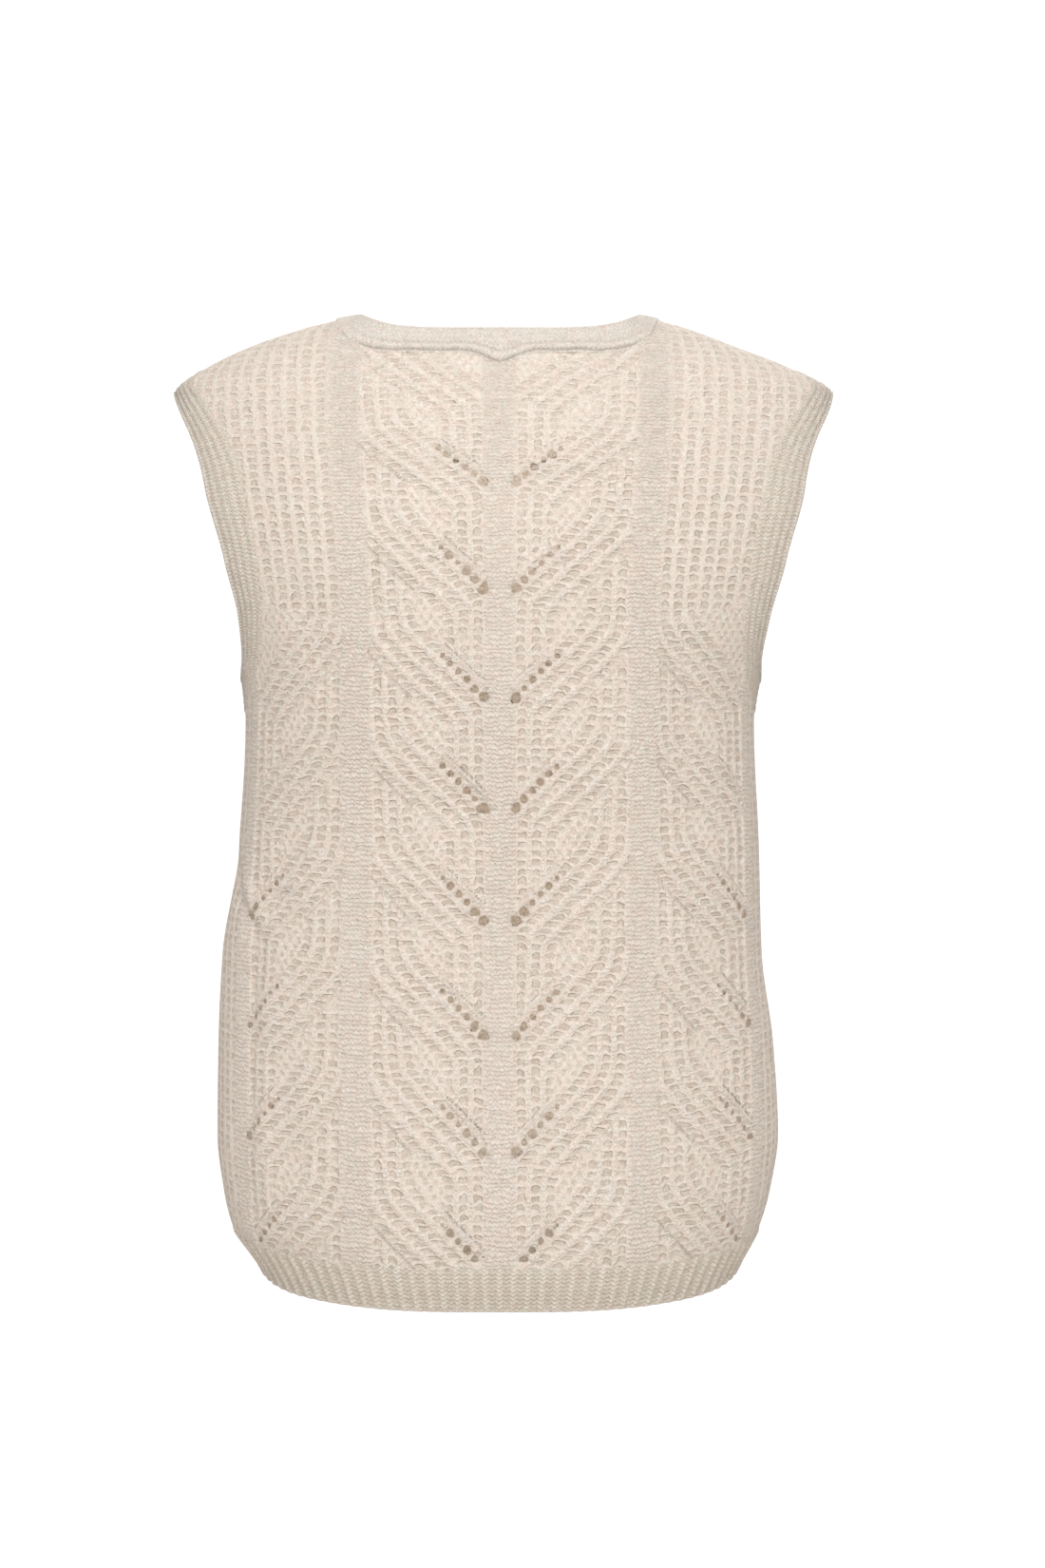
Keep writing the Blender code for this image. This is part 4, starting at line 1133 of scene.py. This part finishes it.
class VEST_OT_ribs(bpy.types.Operator):
    """Knit the ribbed hems and armhole borders"""

    bl_idname = "vest.ribs"
    bl_label = "Ribbed hems and armhole borders"

    def execute(self, context):
        sizes, look = context.scene.vest_sizes, (wool("rib"), "lace_knit")
        for face in ("back", "front"):
            hem_rib_piece(face + "_hem_rib", face, sizes.rib_pitch, look)
        for side in ("left", "right"):
            armhole_rib_piece(side + "_armhole_rib", side, sizes.armhole_ribs, look)
        return {"FINISHED"}


class VEST_OT_neckband(bpy.types.Operator):
    """Link the neckband round the neck"""

    bl_idname = "vest.neckband"
    bl_label = "Neckband"

    def execute(self, context):
        piece = neckband_piece("neckband_knit", (wool("band"), "band_knit"))
        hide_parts("neckband")
        return {"FINISHED"}


CAMERA_PLACE = (0.01357, -2.6, -0.29087)
CAMERA_LENS, SENSOR_WIDTH = 96.15, 36.0
FLOOR_HEIGHT, FLOOR_CURL = -1.25, 0.05  # the rim lies this much lower
FLOOR_RADII = (0.001, 0.7, 1.4, 2.0, 2.08)
FLOOR_STATIONS = 96
LAMPS = (
    # name, place, size, power
    ("key", (0.1, -2.9, 1.55), 1.8, 91.0),
    ("front_key", (0.4, 2.9, 1.5), 1.8, 75.0),
    ("right_fill", (2.6, -1.6, 0.0), 2.0, 9.0),
    ("left_fill", (-2.8, -1.2, -0.1), 2.0, 10.0),
    ("top", (0.0, 0.2, 2.4), 2.0, 6.0),
)
LAMP_AIM = Vector((0.0, 0.0, -0.3))
INSIDE_HEIGHTS = (-0.14, -0.32, -0.50)


class VEST_OT_stage(bpy.types.Operator):
    """Set the pale floor, the soft lights and the camera"""

    bl_idname = "vest.stage"
    bl_label = "Floor, lights and camera"

    def execute(self, context):
        add_floor()
        add_lights()
        data = bpy.data.cameras.new("camera")
        data.lens, data.sensor_width = CAMERA_LENS, SENSOR_WIDTH
        camera = bpy.data.objects.new("camera", data)
        camera.location = CAMERA_PLACE
        camera.rotation_euler = (math.pi / 2, 0.0, 0.0)
        context.scene.collection.objects.link(camera)
        context.scene.camera = camera
        return {"FINISHED"}


def add_floor():
    """A round pale floor well below the hem: a flat disc, x = r cos a, y = r sin a, whose rim
    curls down a little."""
    angles = np.linspace(0.0, TAU, FLOOR_STATIONS + 1)[:-1]
    angle, radius = np.meshgrid(angles, FLOOR_RADII)
    height = FLOOR_HEIGHT - FLOOR_CURL * (radius == FLOOR_RADII[-1])
    points = np.stack([radius * np.cos(angle), radius * np.sin(angle), height], axis=-1)
    mesh = bpy.data.meshes.new("floor")
    quads = grid_quads(*angle.shape, closed=True)[:, ::-1]
    mesh.from_pydata(points.reshape(-1, 3).tolist(), [], quads.tolist())
    mesh.shade_smooth()
    material = bpy.data.materials.new("matt_white_floor")
    material.use_nodes = True
    shader = material.node_tree.nodes["Principled BSDF"]
    shader.inputs["Base Color"].default_value = linear("#E4E2DE")
    shader.inputs["Roughness"].default_value = 0.9
    mesh.materials.append(material)
    floor = bpy.data.objects.new("floor", mesh)
    bpy.context.scene.collection.objects.link(floor)


def add_lights():
    """Large soft lamps: broad keys above the back and the front, a fill from each side, one from
    the top, and an even white studio all round."""
    for name, place, width, power in LAMPS:
        data = bpy.data.lights.new(name, "AREA")
        data.shape, data.size, data.energy = "DISK", width, power
        lamp = bpy.data.objects.new(name, data)
        lamp.location = place
        lamp.rotation_euler = (LAMP_AIM - Vector(place)).to_track_quat("-Z", "Y").to_euler()
        bpy.context.scene.collection.objects.link(lamp)
    # Light that the loose knit lets through from all round, as soft lamps in its hollow.
    for height in INSIDE_HEIGHTS:
        data = bpy.data.lights.new("inside", "POINT")
        data.shadow_soft_size, data.energy = 0.05, 0.11
        data.color = (1.0, 0.92, 0.78)
        lamp = bpy.data.objects.new("inside", data)
        lamp.location, lamp.visible_camera = (0.0, 0.01, height), False
        bpy.context.scene.collection.objects.link(lamp)
    world = bpy.data.worlds.new("studio")
    world.use_nodes = True
    tree = world.node_tree
    sky = tree.nodes["Background"]
    sky.inputs["Color"].default_value = linear("#FFFFFF")
    # The studio's white paper is brighter to look at than the light it gives back.
    seen = add_node(tree, "LightPath").outputs["Is Camera Ray"]
    strength = add_node(tree, "Math MULTIPLY_ADD", (seen, 0.6, 0.5))
    tree.links.new(strength.outputs[0], sky.inputs["Strength"])
    bpy.context.scene.world = world
    bpy.context.scene.view_settings.view_transform = "Standard"


class VEST_PT_sidebar(bpy.types.Panel):
    """Settings and steps of the vest"""

    bl_label = "Knitted lace vest"
    bl_idname = "VEST_PT_sidebar"
    bl_space_type = "VIEW_3D"
    bl_region_type = "UI"
    bl_category = "Vest"

    def draw(self, context):
        for group in (context.scene.vest_sizes, context.scene.vest_colours):
            for name in group.bl_rna.properties.keys():
                if name not in ("rna_type", "name"):
                    self.layout.prop(group, name)
        for step in STEPS:
            self.layout.operator(step.bl_idname)


STEPS = (VEST_OT_lace, VEST_OT_ribs, VEST_OT_neckband, VEST_OT_stage)
CLASSES = (VestSizes, VestColours, *STEPS, VEST_PT_sidebar)


def register():
    for item in CLASSES:
        bpy.utils.register_class(item)
    bpy.types.Scene.vest_sizes = PointerProperty(type=VestSizes)
    bpy.types.Scene.vest_colours = PointerProperty(type=VestColours)


def unregister():
    del bpy.types.Scene.vest_colours
    del bpy.types.Scene.vest_sizes
    for item in reversed(CLASSES):
        bpy.utils.unregister_class(item)


def main():
    register()
    bpy.ops.vest.lace()
    bpy.ops.vest.ribs()
    bpy.ops.vest.neckband()
    bpy.ops.vest.stage()


if __name__ == "__main__":
    main()
